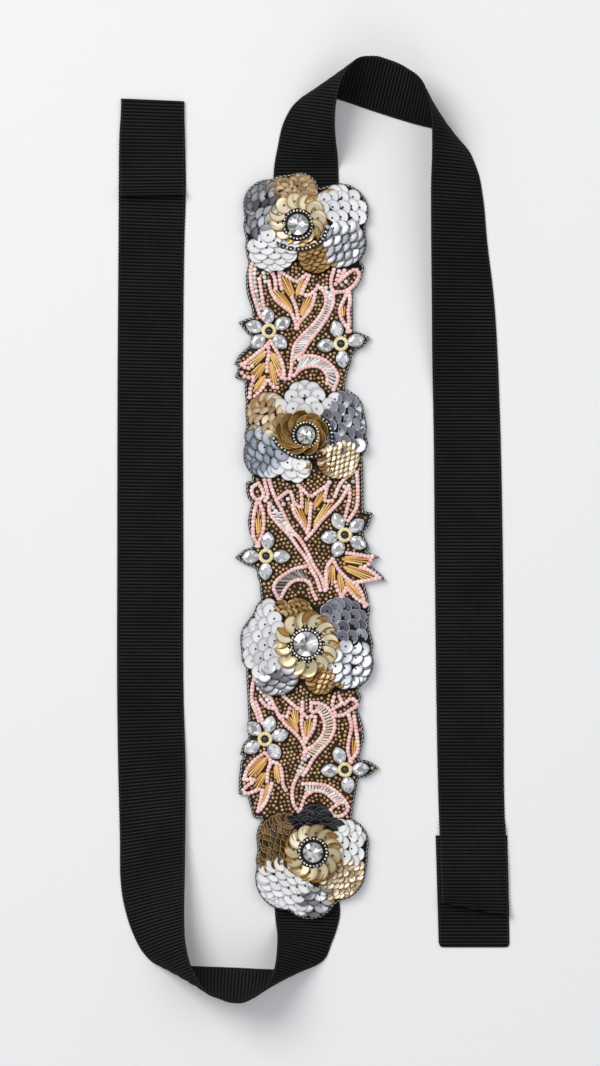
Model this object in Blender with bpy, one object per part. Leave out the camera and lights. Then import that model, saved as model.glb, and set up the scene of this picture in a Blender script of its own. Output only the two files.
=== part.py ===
"""Sequin belt, laid down flat: a long black ribbon in an S, with an embroidered panel on its middle stretch.

The ribbon is one strip of grosgrain. It lies flat along three strands, and in the two turns it stands half
up: one edge stays on the table while the other rises. The panel is a felt cut round four flowers and three
fields of beads, with the raised work on top. Every size and place below is in millimetres, x to the right,
y to the top of the layout and z up from the table.
"""
from collections import namedtuple
import math

import bmesh
import bpy
import numpy as np

MM = 0.001
GAP = 0.3
# The middle of the laid-out belt, which the origin is moved to.
LAYOUT_MIDDLE = (-0.506, -0.414)

# Heights of the layers, from the table up.
RIBBON_THICK = 1.0
FELT_BOTTOM, FELT_TOP = 1.3, 2.8
BEADS_BOTTOM, BEADS_TOP = 3.1, 4.3
PETALS_BOTTOM, PETALS_RIM, PETALS_CROWN = 3.1, 3.9, 5.1
FLOWER_BOTTOM, FLOWER_RIM, FLOWER_FOLD, FLOWER_HUB = 5.4, 6.3, 7.0, 7.4
CRYSTAL_BOTTOM, CRYSTAL_GIRDLE, CRYSTAL_TOP = 7.7, 8.7, 11.0
STONE_BOTTOM, STONE_GIRDLE, STONE_TABLE = 4.6, 5.4, 7.0

# The felt shows this far outside the beads and sequins, and the beads stop this far short of the petals.
FELT_MARGIN = 1.4
PETAL_CLEARANCE = 0.6
# The petals meet at least this far outside the gold flower.
HUB_MARGIN = 3.0
# How finely the felt's edge is followed: down the sides, round the flowers in degrees, and what is left out.
SIDE_STEP, ARC_STEP = 1.5, 7.5
OUTLINE_TOLERANCE = 0.12
COVERED_MARGIN = 0.2

# The profiles run from the bottom up, as a share of the radius and a height.
PETAL_SHARES = (1.0, 0.92, 0.75, 0.5)
FLOWER_PROFILE = ((0.86, FLOWER_BOTTOM), (1.0, FLOWER_RIM), (0.8, FLOWER_FOLD), (0.56, FLOWER_HUB))
SCALLOP_DEPTH, POINTS_PER_LOBE = 0.07, 4
CRYSTAL_PROFILE = ((0.72, CRYSTAL_BOTTOM), (1.0, CRYSTAL_GIRDLE), (0.96, CRYSTAL_GIRDLE + 0.5))
CRYSTAL_SIDES = 16
STONE_PROFILE = ((0.8, STONE_BOTTOM), (1.0, STONE_GIRDLE), (0.5, STONE_TABLE))
STONE_SIDES = 6

STONE_LENGTH, STONE_WIDTH = 8.8, 5.2
# The ring of beads in a star and the bead in the ring, as radii and heights above the stones' bottom.
STAR_CENTRE_RADIUS = 4.0
STAR_CENTRE_PROFILE = ((3.5, 0.0), (STAR_CENTRE_RADIUS, 0.7), (3.1, 1.4), (1.9, 1.1), (1.5, 2.0))
STAR_CENTRE_TOP, STAR_CENTRE_SIDES = 2.5, 12
STONE_OFFSET = STAR_CENTRE_RADIUS + GAP + STONE_LENGTH / 2
# The beads round a star reach this far past the stones' middles, and this far to each side of a stone.
STAR_MARGIN, STONE_MARGIN = 1.0, 2.6

# The ribbon, one row for each place where its course changes. A row is a straight line across the ribbon,
# from its left edge to its right edge as one follows it; z is how far that edge stands above lying flat.
Ruling = namedtuple("Ruling", "left_x left_y left_z right_x right_y right_z")
HEM_LIFT = RIBBON_THICK + GAP
HEM_FLAP = (
    Ruling(-74.4, 190.5, HEM_LIFT, -111.6, 191.6, HEM_LIFT),
    Ruling(-74.2, 216.0, HEM_LIFT, -112.2, 217.0, HEM_LIFT),
    Ruling(-74.6, 243.2, HEM_LIFT, -111.2, 244.8, HEM_LIFT),
)
LEFT_TAIL = (
    Ruling(-74.6, 243.2, 0, -111.2, 244.8, 0),
    Ruling(-74.1, 222.6, 0, -112.2, 227.2, 0),
    Ruling(-73.6, 196.7, 0, -112.6, 200.7, 0),
    Ruling(-74.5, 165.6, 0, -112.7, 169.1, 0),
    Ruling(-75.1, 118.4, 0, -113.1, 118.4, 0),
    Ruling(-75.1, -18.1, 0, -113.5, -18.1, 0),
)
LOWER_TURN = (
    Ruling(-74.9, -98.8, 0, -113.5, -98.8, 0),
    Ruling(-73.7, -139.0, 1.5, -112.9, -139.1, 0),
    Ruling(-73.9, -179.2, 4, -111.9, -179.4, 0),
    Ruling(-74.1, -201.9, 9, -111.5, -202.5, 0),
    Ruling(-74.3, -221.5, 15, -109.4, -216.9, 0),
    Ruling(-73.3, -238.2, 21, -104.8, -231.8, 0),
    Ruling(-69.4, -252.0, 25, -98.0, -244.6, 0),
    Ruling(-61.6, -264.4, 28, -89.4, -251.2, 0),
    Ruling(-53.7, -268.3, 30, -71.4, -252.0, 0),
    Ruling(-45.7, -270.4, 32, -46.7, -252.9, 0),
    Ruling(-37.2, -268.9, 32, -20.0, -254.0, 0),
    Ruling(-28.6, -262.8, 30, -4.6, -253.4, 0),
    Ruling(-23.4, -253.4, 24, 5.0, -249.0, 0),
    Ruling(-21.3, -239.5, 14, 10.4, -238.2, 0),
    Ruling(-21.3, -232.6, 5, 13.2, -231.0, 0),
    Ruling(-22.2, -226.1, 0, 15.0, -223.8, 0),
)
CENTRE_STRAND = (
    Ruling(-23.3, -211.1, 0, 14.7, -211.1, 0),
    Ruling(-23.6, 195.0, 0, 14.4, 195.0, 0),
)
UPPER_TURN = (
    Ruling(-23.3, 206.0, 0, 14.2, 206.0, 0),
    Ruling(-22.5, 212.3, 0, 13.7, 214.6, 6),
    Ruling(-21.3, 218.0, 0, 12.6, 222.7, 14),
    Ruling(-17.3, 234.1, 0, 12.5, 242.0, 23),
    Ruling(-10.4, 245.1, 0, 16.5, 258.3, 27),
    Ruling(-1.7, 250.3, 0, 24.5, 267.9, 28),
    Ruling(12.7, 247.4, 0, 33.6, 269.7, 27),
    Ruling(33.4, 240.5, 0, 43.4, 267.7, 24),
    Ruling(55.3, 233.6, 0, 53.1, 263.1, 24),
    Ruling(74.4, 228.2, 0, 61.6, 255.4, 27),
    Ruling(87.4, 219.4, 0, 66.6, 240.0, 27),
    Ruling(93.8, 206.8, 0, 67.4, 222.2, 26),
    Ruling(97.4, 189.6, 0, 66.8, 196.3, 23.5),
    Ruling(99.6, 166.2, 0, 66.9, 167.9, 20),
    Ruling(103.7, 131.6, 0, 67.4, 131.0, 13),
    Ruling(106.0, 97.1, 0, 67.8, 96.9, 5),
)
RIGHT_TAIL = (
    Ruling(107.1, 68.3, 0, 68.5, 68.3, 0),
    Ruling(108.9, -18.1, 0, 69.4, -18.1, 0),
    Ruling(109.4, -98.8, 0, 70.3, -98.8, 0),
    Ruling(109.8, -160.0, 0, 71.6, -160.0, 0),
    Ruling(110.0, -166.2, 0, 71.8, -166.2, 0),
    Ruling(110.5, -173.0, HEM_LIFT, 72.0, -172.4, HEM_LIFT),
    Ruling(112.0, -196.6, HEM_LIFT, 72.5, -194.3, HEM_LIFT),
    Ruling(112.6, -223.1, HEM_LIFT, 73.1, -215.0, HEM_LIFT),
)
END_TAB = (
    (111.4, -177.2), (70.0, -176.0), (71.8, -238.4), (72.6, -240.6), (74.6, -241.4),
    (110.0, -241.4), (111.8, -240.8), (112.6, -239.0),
)
# How finely the ribbon is followed along its length and across its width.
TURN_STEP, TAIL_STEP = 6.0, 60.0
TURN_ACROSS, TAIL_ACROSS = 3, 1
TRAVEL_PROBE = 0.1
# The fold at the hem stands this far above the last row of the flap.
HEM_FOLD = 2.0
HEM_BEND_STEPS = 5

# The flowers: the crystal's place, and a round patch of sequins for each petal and each place where two meet,
# measured to the felt's edge.
Rosette = namedtuple("Rosette", "x y crystal_radius flower_radius lobes")
Petal = namedtuple("Petal", "x y radius")
ROSETTES = (
    Rosette(-9.2, 174.6, 6.2, 17.0, 11),
    Rosette(-4.6, 53.8, 5.3, 15.5, 9),
    Rosette(-4.6, -66.4, 7.3, 19.5, 12),
    Rosette(-0.6, -186.1, 5.9, 17.0, 11),
)
PETALS = (
    (
        Petal(-8.1, 193.6, 11.5), Petal(14.9, 182.1, 16.7), Petal(14.9, 164.2, 15.6),
        Petal(1.1, 156.7, 11.5), Petal(-23.6, 162.5, 16.1), Petal(-29.3, 174.2, 11.5),
        Petal(-25.9, 186.1, 15.0), Petal(-17.8, 193.2, 10.4),
    ),
    (
        Petal(-5.2, 73.3, 13.2), Petal(-26.5, 66.4, 13.2), Petal(-29.9, 53.2, 10.4),
        Petal(-26.5, 42.3, 14.4), Petal(-10.9, 35.4, 10.4), Petal(13.8, 41.1, 13.8),
        Petal(21.9, 49.2, 9.2), Petal(16.1, 57.8, 14.4), Petal(15.5, 67.0, 13.2),
    ),
    (
        Petal(-9.2, -48.0, 9.8), Petal(16.1, -53.8, 15.6), Petal(21.9, -66.5, 12.1),
        Petal(18.4, -77.4, 16.1), Petal(4.0, -86.6, 10.4), Petal(-21.9, -82.5, 15.0),
        Petal(-32.3, -73.5, 9.8), Petal(-26.5, -64.1, 16.1), Petal(-22.4, -50.9, 12.7),
    ),
    (
        Petal(0.6, -169.4, 12.1), Petal(16.1, -181.5, 15.6), Petal(21.9, -191.0, 9.2),
        Petal(13.2, -197.6, 16.7), Petal(-2.3, -209.1, 16.1), Petal(-15.0, -201.0, 19.0),
        Petal(-23.0, -190.9, 10.7), Petal(-17.8, -178.0, 15.6),
    ),
)

# The fields of beads between the flowers: the four corners of each, and the leaves that reach past its sides.
Field = namedtuple("Field", "axis_x corners")
Leaf = namedtuple("Leaf", "root_x root_y tip_x tip_y half_width")
FIELDS = (
    Field(-6.9, ((-36.8, 160.3), (22.4, 154.5), (22.4, 105.6), (16.1, 74.5), (-33.4, 74.5))),
    Field(-4.6, ((-36.3, 38.0), (28.2, 38.0), (28.8, -18.1), (21.9, -48.6), (-29.9, -48.6))),
    Field(-6.3, (
        (-39.0, -84.0), (24.9, -84.0), (25.9, -141.8), (21.3, -168.0), (-29.9, -168.0), (-37.6, -112.0),
    )),
)
LEAVES = (
    (
        Leaf(-34.6, 163.0, -31.5, 117.0, 6.2), Leaf(10.0, 133.5, 29.0, 150.5, 6.0),
        Leaf(-25.9, 107.3, -46.1, 94.2, 4.6), Leaf(-25.9, 107.3, -45.5, 86.7, 4.6),
        Leaf(-25.9, 107.3, -39.2, 72.9, 6.4),
    ),
    (
        Leaf(-27.0, 12.0, -39.0, 27.5, 5.6), Leaf(-34.6, 18.0, -33.0, -12.0, 4.4),
        Leaf(10.9, -17.0, 38.0, -16.4, 4.6), Leaf(10.9, -17.0, 41.5, -29.7, 5.2),
        Leaf(10.9, -17.0, 32.3, -47.5, 6.4),
    ),
    (
        Leaf(10.0, -110.0, 27.5, -95.0, 6.0), Leaf(25.0, -104.0, 24.0, -136.0, 4.4),
        Leaf(-28.2, -128.6, -43.2, -143.6, 6.8), Leaf(-28.2, -128.6, -43.4, -153.0, 6.0),
        Leaf(-28.2, -128.6, -35.0, -166.5, 6.4),
    ),
)
# The stars of cut stones: which field each is in, and the turn of each stone. Reach is how far the felt
# comes out past that stone, from the star's centre, or 0 where beads surround it.
Star = namedtuple("Star", "field x y turns reaches")
STARS = (
    Star(1, -25.9, 113.6, (95, 29, -45, -136, 164), (0, 0, 0, 15.2, 18.4)),
    Star(1, 15.5, 106.2, (106, 12, -84, 186), (0, 17.6, 17.6, 0)),
    Star(2, -27.6, -15.8, (84, -2, -92, 183), (0, 0, 19.0, 18.0)),
    Star(2, 17.7, -3.7, (116, 38, -31, -116, 188), (0, 20.6, 16.6, 0, 0)),
    Star(3, -28.2, -121.1, (73, 15, -53, 212, 136), (0, 0, 0, 17.0, 14.4)),
    Star(3, 17.8, -138.7, (112, 3, -79, 183), (0, 19.8, 15.0, 0)),
)

COLOURS = {
    "grosgrain_black": ((0.006, 0.006, 0.007), 0.75, 0.0),
    "felt_black": ((0.012, 0.012, 0.012), 0.95, 0.0),
    "beads_rose_bronze": ((0.45, 0.26, 0.20), 0.35, 0.2),
    "sequins_white_silver": ((0.62, 0.63, 0.66), 0.30, 0.4),
    "sequins_gold": ((0.55, 0.38, 0.14), 0.25, 0.9),
    "crystal": ((0.85, 0.87, 0.90), 0.05, 0.0),
    "glass_stone": ((0.70, 0.71, 0.74), 0.08, 0.0),
    "bead_ring_cream": ((0.75, 0.62, 0.32), 0.35, 0.0),
}


def remove_everything():
    for thing in list(bpy.data.objects):
        bpy.data.objects.remove(thing, do_unlink=True)


def finish(name):
    """The material of that name, made the first time it is asked for."""
    made = bpy.data.materials.get(name)
    if made:
        return made
    colour, roughness, metallic = COLOURS[name]
    made = bpy.data.materials.new(name)
    made.use_nodes = True
    shader = made.node_tree.nodes["Principled BSDF"]
    shader.inputs["Base Color"].default_value = (*colour, 1.0)
    shader.inputs["Roughness"].default_value = roughness
    shader.inputs["Metallic"].default_value = metallic
    return made


def closed_mesh(name, points, faces, material):
    """A closed mesh from points in millimetres, with every face turned outwards."""
    mesh = bpy.data.meshes.new(name)
    mesh.from_pydata([tuple(MM * value for value in point) for point in points], [], faces)
    shape = bmesh.new()
    shape.from_mesh(mesh)
    bmesh.ops.recalc_face_normals(shape, faces=shape.faces)
    shape.to_mesh(mesh)
    shape.free()
    mesh.materials.append(finish(material))
    return mesh


def put(name, mesh, belt, place=(0, 0, 0), turn=0):
    """One sub-part of the belt: its mesh at a place in millimetres, turned about the vertical in degrees."""
    piece = bpy.data.objects.new(name, mesh)
    bpy.context.scene.collection.objects.link(piece)
    piece.parent = belt
    piece.location = [MM * value for value in place]
    piece.rotation_euler = (0, 0, math.radians(turn))
    return piece


def slab(name, outline, bottom, top, material):
    """A flat piece: a closed outline between two heights."""
    count = len(outline)
    points = [(x, y, bottom) for x, y in outline] + [(x, y, top) for x, y in outline]
    sides = [(i, (i + 1) % count, (i + 1) % count + count, i + count) for i in range(count)]
    ends = [tuple(reversed(range(count))), tuple(range(count, 2 * count))]
    return closed_mesh(name, points, sides + ends, material)


def tube_sides(loops, count):
    """The faces between loops of as many points each."""
    starts = [level * count for level in range(loops - 1)]
    steps = [(i, (i + 1) % count) for i in range(count)]
    return [(low + i, low + j, low + j + count, low + i + count) for low in starts for i, j in steps]


def rings_mesh(name, rings, material, pole=None):
    """A closed mesh through rings of as many points each, with flat ends or a pole at the last."""
    count = len(rings[0])
    points = [point for ring in rings for point in ring]
    faces = tube_sides(len(rings), count) + [tuple(reversed(range(count)))]
    last = (len(rings) - 1) * count
    if pole:
        points.append(pole)
        faces += [(last + i, last + (i + 1) % count, len(points) - 1) for i in range(count)]
    else:
        faces.append(tuple(range(last, last + count)))
    return closed_mesh(name, points, faces, material)


class Strip:
    """A ribbon through its rulings, which it joins by smooth curves along both edges."""

    def __init__(self, rulings):
        self.rows = np.array(rulings, float).reshape(-1, 2, 3)
        middle = self.rows.mean(axis=1)
        lengths = np.linalg.norm(np.diff(middle, axis=0), axis=1)
        self.knots = np.concatenate([[0.0], np.cumsum(lengths)])
        spans = np.diff(self.knots)[:, None, None]
        chords = np.diff(self.rows, axis=0) / spans
        before, after = chords[:-1], chords[1:]
        bends = (before * spans[1:] + after * spans[:-1]) / (spans[1:] + spans[:-1])
        # The height never swings past a row's own height, so the ribbon stays on the table.
        same_way = before[..., 2] * after[..., 2] > 0
        total = np.where(same_way, before[..., 2] + after[..., 2], 1.0)
        bends[..., 2] = np.where(same_way, 2 * before[..., 2] * after[..., 2] / total, 0.0)
        self.slopes = np.concatenate([chords[:1], bends, chords[-1:]])

    def at(self, along):
        """The left and right edge points at a distance along the ribbon."""
        i = int(np.clip(np.searchsorted(self.knots, along, side="right") - 1, 0, len(self.knots) - 2))
        span = self.knots[i + 1] - self.knots[i]
        u = (along - self.knots[i]) / span
        start, end = (2 * u**3 - 3 * u**2 + 1), (3 * u**2 - 2 * u**3)
        leave, arrive = (u**3 - 2 * u**2 + u) * span, (u**3 - u**2) * span
        rows, slopes = self.rows, self.slopes
        return start * rows[i] + leave * slopes[i] + end * rows[i + 1] + arrive * slopes[i + 1]

    def stations(self, first, last, step):
        """Distances along the ribbon between two rows, a step apart at most, half a gap short of seams."""
        stops = []
        for i in range(first, last):
            pieces = max(1, math.ceil((self.knots[i + 1] - self.knots[i]) / step))
            stops += list(np.linspace(self.knots[i], self.knots[i + 1], pieces, endpoint=False))
        stops.append(self.knots[last])
        if first > 0:
            stops[0] += GAP / 2
        if last < len(self.knots) - 1:
            stops[-1] -= GAP / 2
        return stops

    def wall(self, name, first, last, step, across):
        """The ribbon's own thickness round its middle surface, between two rows."""
        front, back = [], []
        share = np.linspace(0, 1, across + 1)[:, None]
        for along in self.stations(first, last, step):
            left, right = self.at(along)
            before, after = self.at(along - TRAVEL_PROBE), self.at(along + TRAVEL_PROBE)
            middle = left + (right - left) * share
            travel = (after[0] - before[0]) + ((after[1] - before[1]) - (after[0] - before[0])) * share
            normal = np.cross(right - left, travel)
            normal *= RIBBON_THICK / 2 / np.linalg.norm(normal, axis=1)[:, None]
            middle[:, 2] += RIBBON_THICK / 2
            front.append(middle + normal)
            back.append(middle - normal)
        # Each cross-section runs over the front and back again under it, so the wall is a tube of such loops.
        loops = [list(map(tuple, f)) + list(map(tuple, b[::-1])) for f, b in zip(front, back)]
        count = len(loops[0])
        points = [point for loop in loops for point in loop]
        faces = tube_sides(len(loops), count)
        for base in (0, (len(loops) - 1) * count):
            end = base + count - 1
            faces += [(base + i, base + i + 1, end - i - 1, end - i) for i in range(across)]
        return closed_mesh(name, points, faces, "grosgrain_black")


def hem_bend():
    """The rows round the fold of the hem, from the flap on top to the tail below it."""
    fold = HEM_FLAP[-1]
    rise = HEM_LIFT / 2
    rows = []
    for i in range(HEM_BEND_STEPS + 1):
        angle = math.pi * i / HEM_BEND_STEPS
        up, lift = HEM_FOLD + rise * math.sin(angle), rise + rise * math.cos(angle)
        rows.append(Ruling(fold.left_x, fold.left_y + up, lift, fold.right_x, fold.right_y + up, lift))
    return rows


def make_ribbon(belt):
    """The ribbon in five stretches, end to end, and the tab that its right end is lapped over."""
    hem = list(HEM_FLAP) + hem_bend()
    stretches = (
        ("ribbon_left_tail", hem + list(LEFT_TAIL), TAIL_STEP, TAIL_ACROSS),
        ("ribbon_lower_turn", list(LOWER_TURN), TURN_STEP, TURN_ACROSS),
        ("ribbon_centre", list(CENTRE_STRAND), TAIL_STEP, TAIL_ACROSS),
        ("ribbon_upper_turn", list(UPPER_TURN), TURN_STEP, TURN_ACROSS),
        ("ribbon_right_tail", list(RIGHT_TAIL), TAIL_STEP, TAIL_ACROSS),
    )
    strip = Strip([row for _, rows, _, _ in stretches for row in rows])
    first = 0
    for name, rows, step, across in stretches:
        last = min(first + len(rows), len(strip.knots) - 1)
        put(name, strip.wall(name, first, last, step, across), belt)
        first = last
    put("ribbon_end_tab", slab("ribbon_end_tab", END_TAB, 0, RIBBON_THICK, "grosgrain_black"), belt)


def disc(x, y, radius, sides=32):
    angles = np.linspace(0, 2 * math.pi, sides, endpoint=False)
    return np.column_stack([x + radius * np.cos(angles), y + radius * np.sin(angles)])


def pointed_oval(root, tip, half_width, sides=8):
    """A leaf's outline: two arcs from the root to the tip."""
    root, tip = np.array(root), np.array(tip)
    axis = tip - root
    aside = np.array([-axis[1], axis[0]]) / np.linalg.norm(axis)
    share = np.linspace(0, 1, sides + 1)[:, None]
    spine, swell = root + axis * share, aside * half_width * np.sin(math.pi * share)
    return np.concatenate([spine + swell, (spine - swell)[-2:0:-1]])


def reach(start, direction, outlines):
    """How far a straight line goes from a point inside before it leaves the last of the closed outlines."""
    farthest = 0.0
    for outline in outlines:
        corner = outline - np.array(start)
        following = np.roll(corner, -1, axis=0)
        off = corner[:, 0] * direction[1] - corner[:, 1] * direction[0]
        off_next = following[:, 0] * direction[1] - following[:, 1] * direction[0]
        crossed = (off > 0) != (off_next > 0)
        if crossed.any():
            share = (off / np.where(crossed, off - off_next, 1.0))[crossed][:, None]
            hits = corner[crossed] + (following - corner)[crossed] * share
            farthest = max(farthest, float((hits @ np.array(direction)).max()))
    return farthest


def petal_discs(number, inset):
    """A flower's petals as discs, with one more in the middle that closes the gaps between them."""
    flower = ROSETTES[number]
    middle = disc(flower.x, flower.y, flower.flower_radius + HUB_MARGIN - inset)
    return [middle] + [disc(petal.x, petal.y, petal.radius - inset) for petal in PETALS[number]]


def rosette_reach(number, angle, inset):
    """How far a flower's petals reach from its crystal at an angle in degrees."""
    flower = ROSETTES[number]
    direction = (math.cos(math.radians(angle)), math.sin(math.radians(angle)))
    return reach((flower.x, flower.y), direction, petal_discs(number, inset))


def bearing(number, point):
    """The angle in degrees and the distance of a point from a flower's crystal."""
    flower = ROSETTES[number]
    east, north = point[0] - flower.x, point[1] - flower.y
    return math.degrees(math.atan2(north, east)), math.hypot(east, north)


def rosette_arc(number, start, end, inset, way):
    """The petals' edge between two points, counter-clockwise for way 1 and clockwise for way -1."""
    flower = ROSETTES[number]
    first, last = bearing(number, start)[0], bearing(number, end)[0]
    while (last - first) * way <= 0:
        last += 360 * way
    low, high = sorted((first, last))
    angles = [ARC_STEP * i for i in range(math.floor(low / ARC_STEP) + 1, math.ceil(high / ARC_STEP))]
    points = []
    for angle in angles[::way]:
        far = rosette_reach(number, angle, inset)
        turn = math.radians(angle)
        points.append((flower.x + far * math.cos(turn), flower.y + far * math.sin(turn)))
    return points


def field_outlines(number, inset):
    """The shapes that make up a field of beads: its body, its leaves and the points of its stars."""
    field = FIELDS[number]
    body = [(x + math.copysign(inset, field.axis_x - x), y) for x, y in field.corners]
    shapes = [np.array(body)]
    for leaf in LEAVES[number]:
        root, tip = np.array(leaf[:2]), np.array(leaf[2:4])
        shorter = tip - (tip - root) / np.linalg.norm(tip - root) * 2 * inset
        shapes.append(pointed_oval(root, shorter, leaf.half_width - inset))
    for star in STARS:
        if star.field != number + 1:
            continue
        shapes.append(disc(star.x, star.y, STONE_OFFSET + STAR_MARGIN - inset))
        for turn, far in zip(star.turns, star.reaches):
            if far:
                length, angle = far - 2 * inset, math.radians(turn)
                tip = (star.x + length * math.cos(angle), star.y + length * math.sin(angle))
                shapes.append(pointed_oval((star.x, star.y), tip, STONE_WIDTH / 2 + STONE_MARGIN - inset))
    return shapes


def thinned(points):
    """The points without those that lie on the line between their neighbours."""
    kept = [points[0]]
    for here, following in zip(points[1:-1], points[2:]):
        run = np.subtract(following, kept[-1])
        off = np.subtract(here, kept[-1])
        if abs(run[0] * off[1] - run[1] * off[0]) / np.linalg.norm(run) > OUTLINE_TOLERANCE:
            kept.append(here)
    return kept + [points[-1]]


def field_side(number, way, inset, clearance):
    """A field's side from top to bottom, on the left for way -1, where neither of its flowers covers it."""
    axis = FIELDS[number].axis_x
    shapes = field_outlines(number, inset)
    top, bottom = ROSETTES[number].y, ROSETTES[number + 1].y
    heights = set(np.arange(bottom, top, SIDE_STEP))
    heights |= {float(y) for shape in shapes for _, y in shape if bottom < y < top}
    points = []
    for y in sorted(heights, reverse=True):
        far = reach((axis, y), (way, 0), shapes)
        point = (axis + way * far, y)
        free = True
        for flower in (number, number + 1):
            angle, distance = bearing(flower, point)
            free = free and distance > rosette_reach(flower, angle, inset - clearance) + COVERED_MARGIN
        if free and far > 0:
            points.append(point)
    return thinned(points)


def panel_outline():
    """The felt's edge, counter-clockwise: round the flowers and down and up the sides of the fields."""
    left = [field_side(number, -1, 0, 0) for number in range(3)]
    right = [field_side(number, 1, 0, 0)[::-1] for number in range(3)]
    outline = rosette_arc(0, right[0][-1], left[0][0], 0, 1)
    for number in range(3):
        following = left[number + 1][0] if number < 2 else right[2][0]
        outline += left[number] + rosette_arc(number + 1, left[number][-1], following, 0, 1)
    for number in (2, 1, 0):
        outline += right[number]
        if number:
            outline += rosette_arc(number, right[number][-1], right[number - 1][0], 0, 1)
    return outline


def beadwork_outline(number):
    """The edge of one field of beads, a margin inside the felt and just clear of the petals."""
    left = field_side(number, -1, FELT_MARGIN, PETAL_CLEARANCE)
    right = field_side(number, 1, FELT_MARGIN, PETAL_CLEARANCE)[::-1]
    inset = FELT_MARGIN - PETAL_CLEARANCE
    below = rosette_arc(number + 1, left[-1], right[0], inset, -1)
    above = rosette_arc(number, right[-1], left[0], inset, -1)
    return left + below + right + above


def make_panel(belt):
    """The felt, and the three fields of beads on it."""
    put("panel_backing", slab("panel_backing", panel_outline(), FELT_BOTTOM, FELT_TOP, "felt_black"), belt)
    for number in range(3):
        name = f"beadwork_{number + 1}"
        mesh = slab(name, beadwork_outline(number), BEADS_BOTTOM, BEADS_TOP, "beads_rose_bronze")
        put(name, mesh, belt)


def petal_height(number, x, y):
    """How high the sequins stand: each petal is a low dome, with a crease where it meets the next."""
    swell = 0.0
    for petal in PETALS[number]:
        radius = petal.radius - FELT_MARGIN
        swell = max(swell, 1 - ((x - petal.x) ** 2 + (y - petal.y) ** 2) / radius**2)
    return PETALS_RIM + (PETALS_CROWN - PETALS_RIM) * math.sqrt(max(swell, 0.0))


def petals_mesh(number):
    """A flower's petals as one domed piece, in rings round the crystal."""
    flower = ROSETTES[number]
    angles = [ARC_STEP * i for i in range(round(360 / ARC_STEP))]
    reaches = [rosette_reach(number, angle, FELT_MARGIN) for angle in angles]

    def ring(share, height):
        points = []
        for angle, far in zip(angles, reaches):
            east = share * far * math.cos(math.radians(angle))
            north = share * far * math.sin(math.radians(angle))
            z = height if height is not None else petal_height(number, flower.x + east, flower.y + north)
            points.append((east, north, z))
        return points

    rings = [ring(1.0, PETALS_BOTTOM)] + [ring(share, None) for share in PETAL_SHARES]
    return rings_mesh(f"rosette_{number + 1}_petals", rings, "sequins_white_silver", (0, 0, PETALS_CROWN))


def flower_mesh(number):
    """The ring of gold sequins: a scalloped dish with a raised hub for the crystal."""
    flower = ROSETTES[number]
    count = POINTS_PER_LOBE * flower.lobes
    rings = []
    for share, z in FLOWER_PROFILE:
        ring = []
        for i in range(count):
            angle = 2 * math.pi * i / count
            scallop = 1 - SCALLOP_DEPTH * (1 - abs(math.cos(flower.lobes * angle / 2)))
            far = flower.flower_radius * share * scallop
            ring.append((far * math.cos(angle), far * math.sin(angle), z))
        rings.append(ring)
    return rings_mesh(f"rosette_{number + 1}_flower", rings, "sequins_gold", (0, 0, FLOWER_HUB))


def turned_mesh(name, profile, sides, material, top):
    """A round closed piece from radii and heights, brought to a pole at the top."""
    angles = [2 * math.pi * i / sides for i in range(sides)]
    rings = [[(radius * math.cos(a), radius * math.sin(a), z) for a in angles] for radius, z in profile]
    return rings_mesh(name, rings, material, (0, 0, top))


def crystal_mesh(number):
    """A round cut crystal, pointed in front."""
    profile = [(share * ROSETTES[number].crystal_radius, z) for share, z in CRYSTAL_PROFILE]
    return turned_mesh(f"rosette_{number + 1}_stone", profile, CRYSTAL_SIDES, "crystal", CRYSTAL_TOP)


def make_rosettes(belt):
    """Each flower: its petals, the gold flower on them and the crystal in its middle."""
    for number, flower in enumerate(ROSETTES):
        place = (flower.x, flower.y, 0)
        put(f"rosette_{number + 1}_petals", petals_mesh(number), belt, place)
        put(f"rosette_{number + 1}_flower", flower_mesh(number), belt, place)
        put(f"rosette_{number + 1}_stone", crystal_mesh(number), belt, place)


def marquise_mesh():
    """A cut stone with two pointed ends, along x: base, girdle and table."""
    half = STONE_LENGTH / 2
    girdle = pointed_oval((-half, 0), (half, 0), STONE_WIDTH / 2, STONE_SIDES)
    rings = [[(share * x, share * y, z) for x, y in girdle] for share, z in STONE_PROFILE]
    return rings_mesh("star_stone", rings, "glass_stone")


def star_centre_mesh():
    """The ring of cream beads with one black bead in it."""
    profile = [(radius, STONE_BOTTOM + z) for radius, z in STAR_CENTRE_PROFILE]
    top = STONE_BOTTOM + STAR_CENTRE_TOP
    return turned_mesh("star_centre", profile, STAR_CENTRE_SIDES, "bead_ring_cream", top)


def make_stars(belt):
    """Six stars, each with four or five stones round its centre."""
    stone, centre = marquise_mesh(), star_centre_mesh()
    for number, star in enumerate(STARS, start=1):
        put(f"star_{number}_centre", centre, belt, (star.x, star.y, 0))
        for order, turn in enumerate(star.turns, start=1):
            angle = math.radians(turn)
            place = (star.x + STONE_OFFSET * math.cos(angle), star.y + STONE_OFFSET * math.sin(angle), 0)
            put(f"star_{number}_stone_{order}", stone, belt, place, turn)


def make_belt():
    remove_everything()
    belt = bpy.data.objects.new("belt", None)
    bpy.context.scene.collection.objects.link(belt)
    belt.location = (-MM * LAYOUT_MIDDLE[0], -MM * LAYOUT_MIDDLE[1], 0)
    make_ribbon(belt)
    make_panel(belt)
    make_rosettes(belt)
    make_stars(belt)
    return belt


make_belt()
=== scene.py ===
# %% [markdown]
# # A tie belt of ribbon, sequins and beads
# The belt is one long black ribbon laid down in an S. An embroidered panel is sewn on its middle stretch:
# black felt, four flowers of sequins, and three fields of seed beads between them. The solids come in as a
# fixed frame. This script gives each of them its looks, and it never moves them.

# %% Load the frame
import math
from collections import namedtuple

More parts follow.
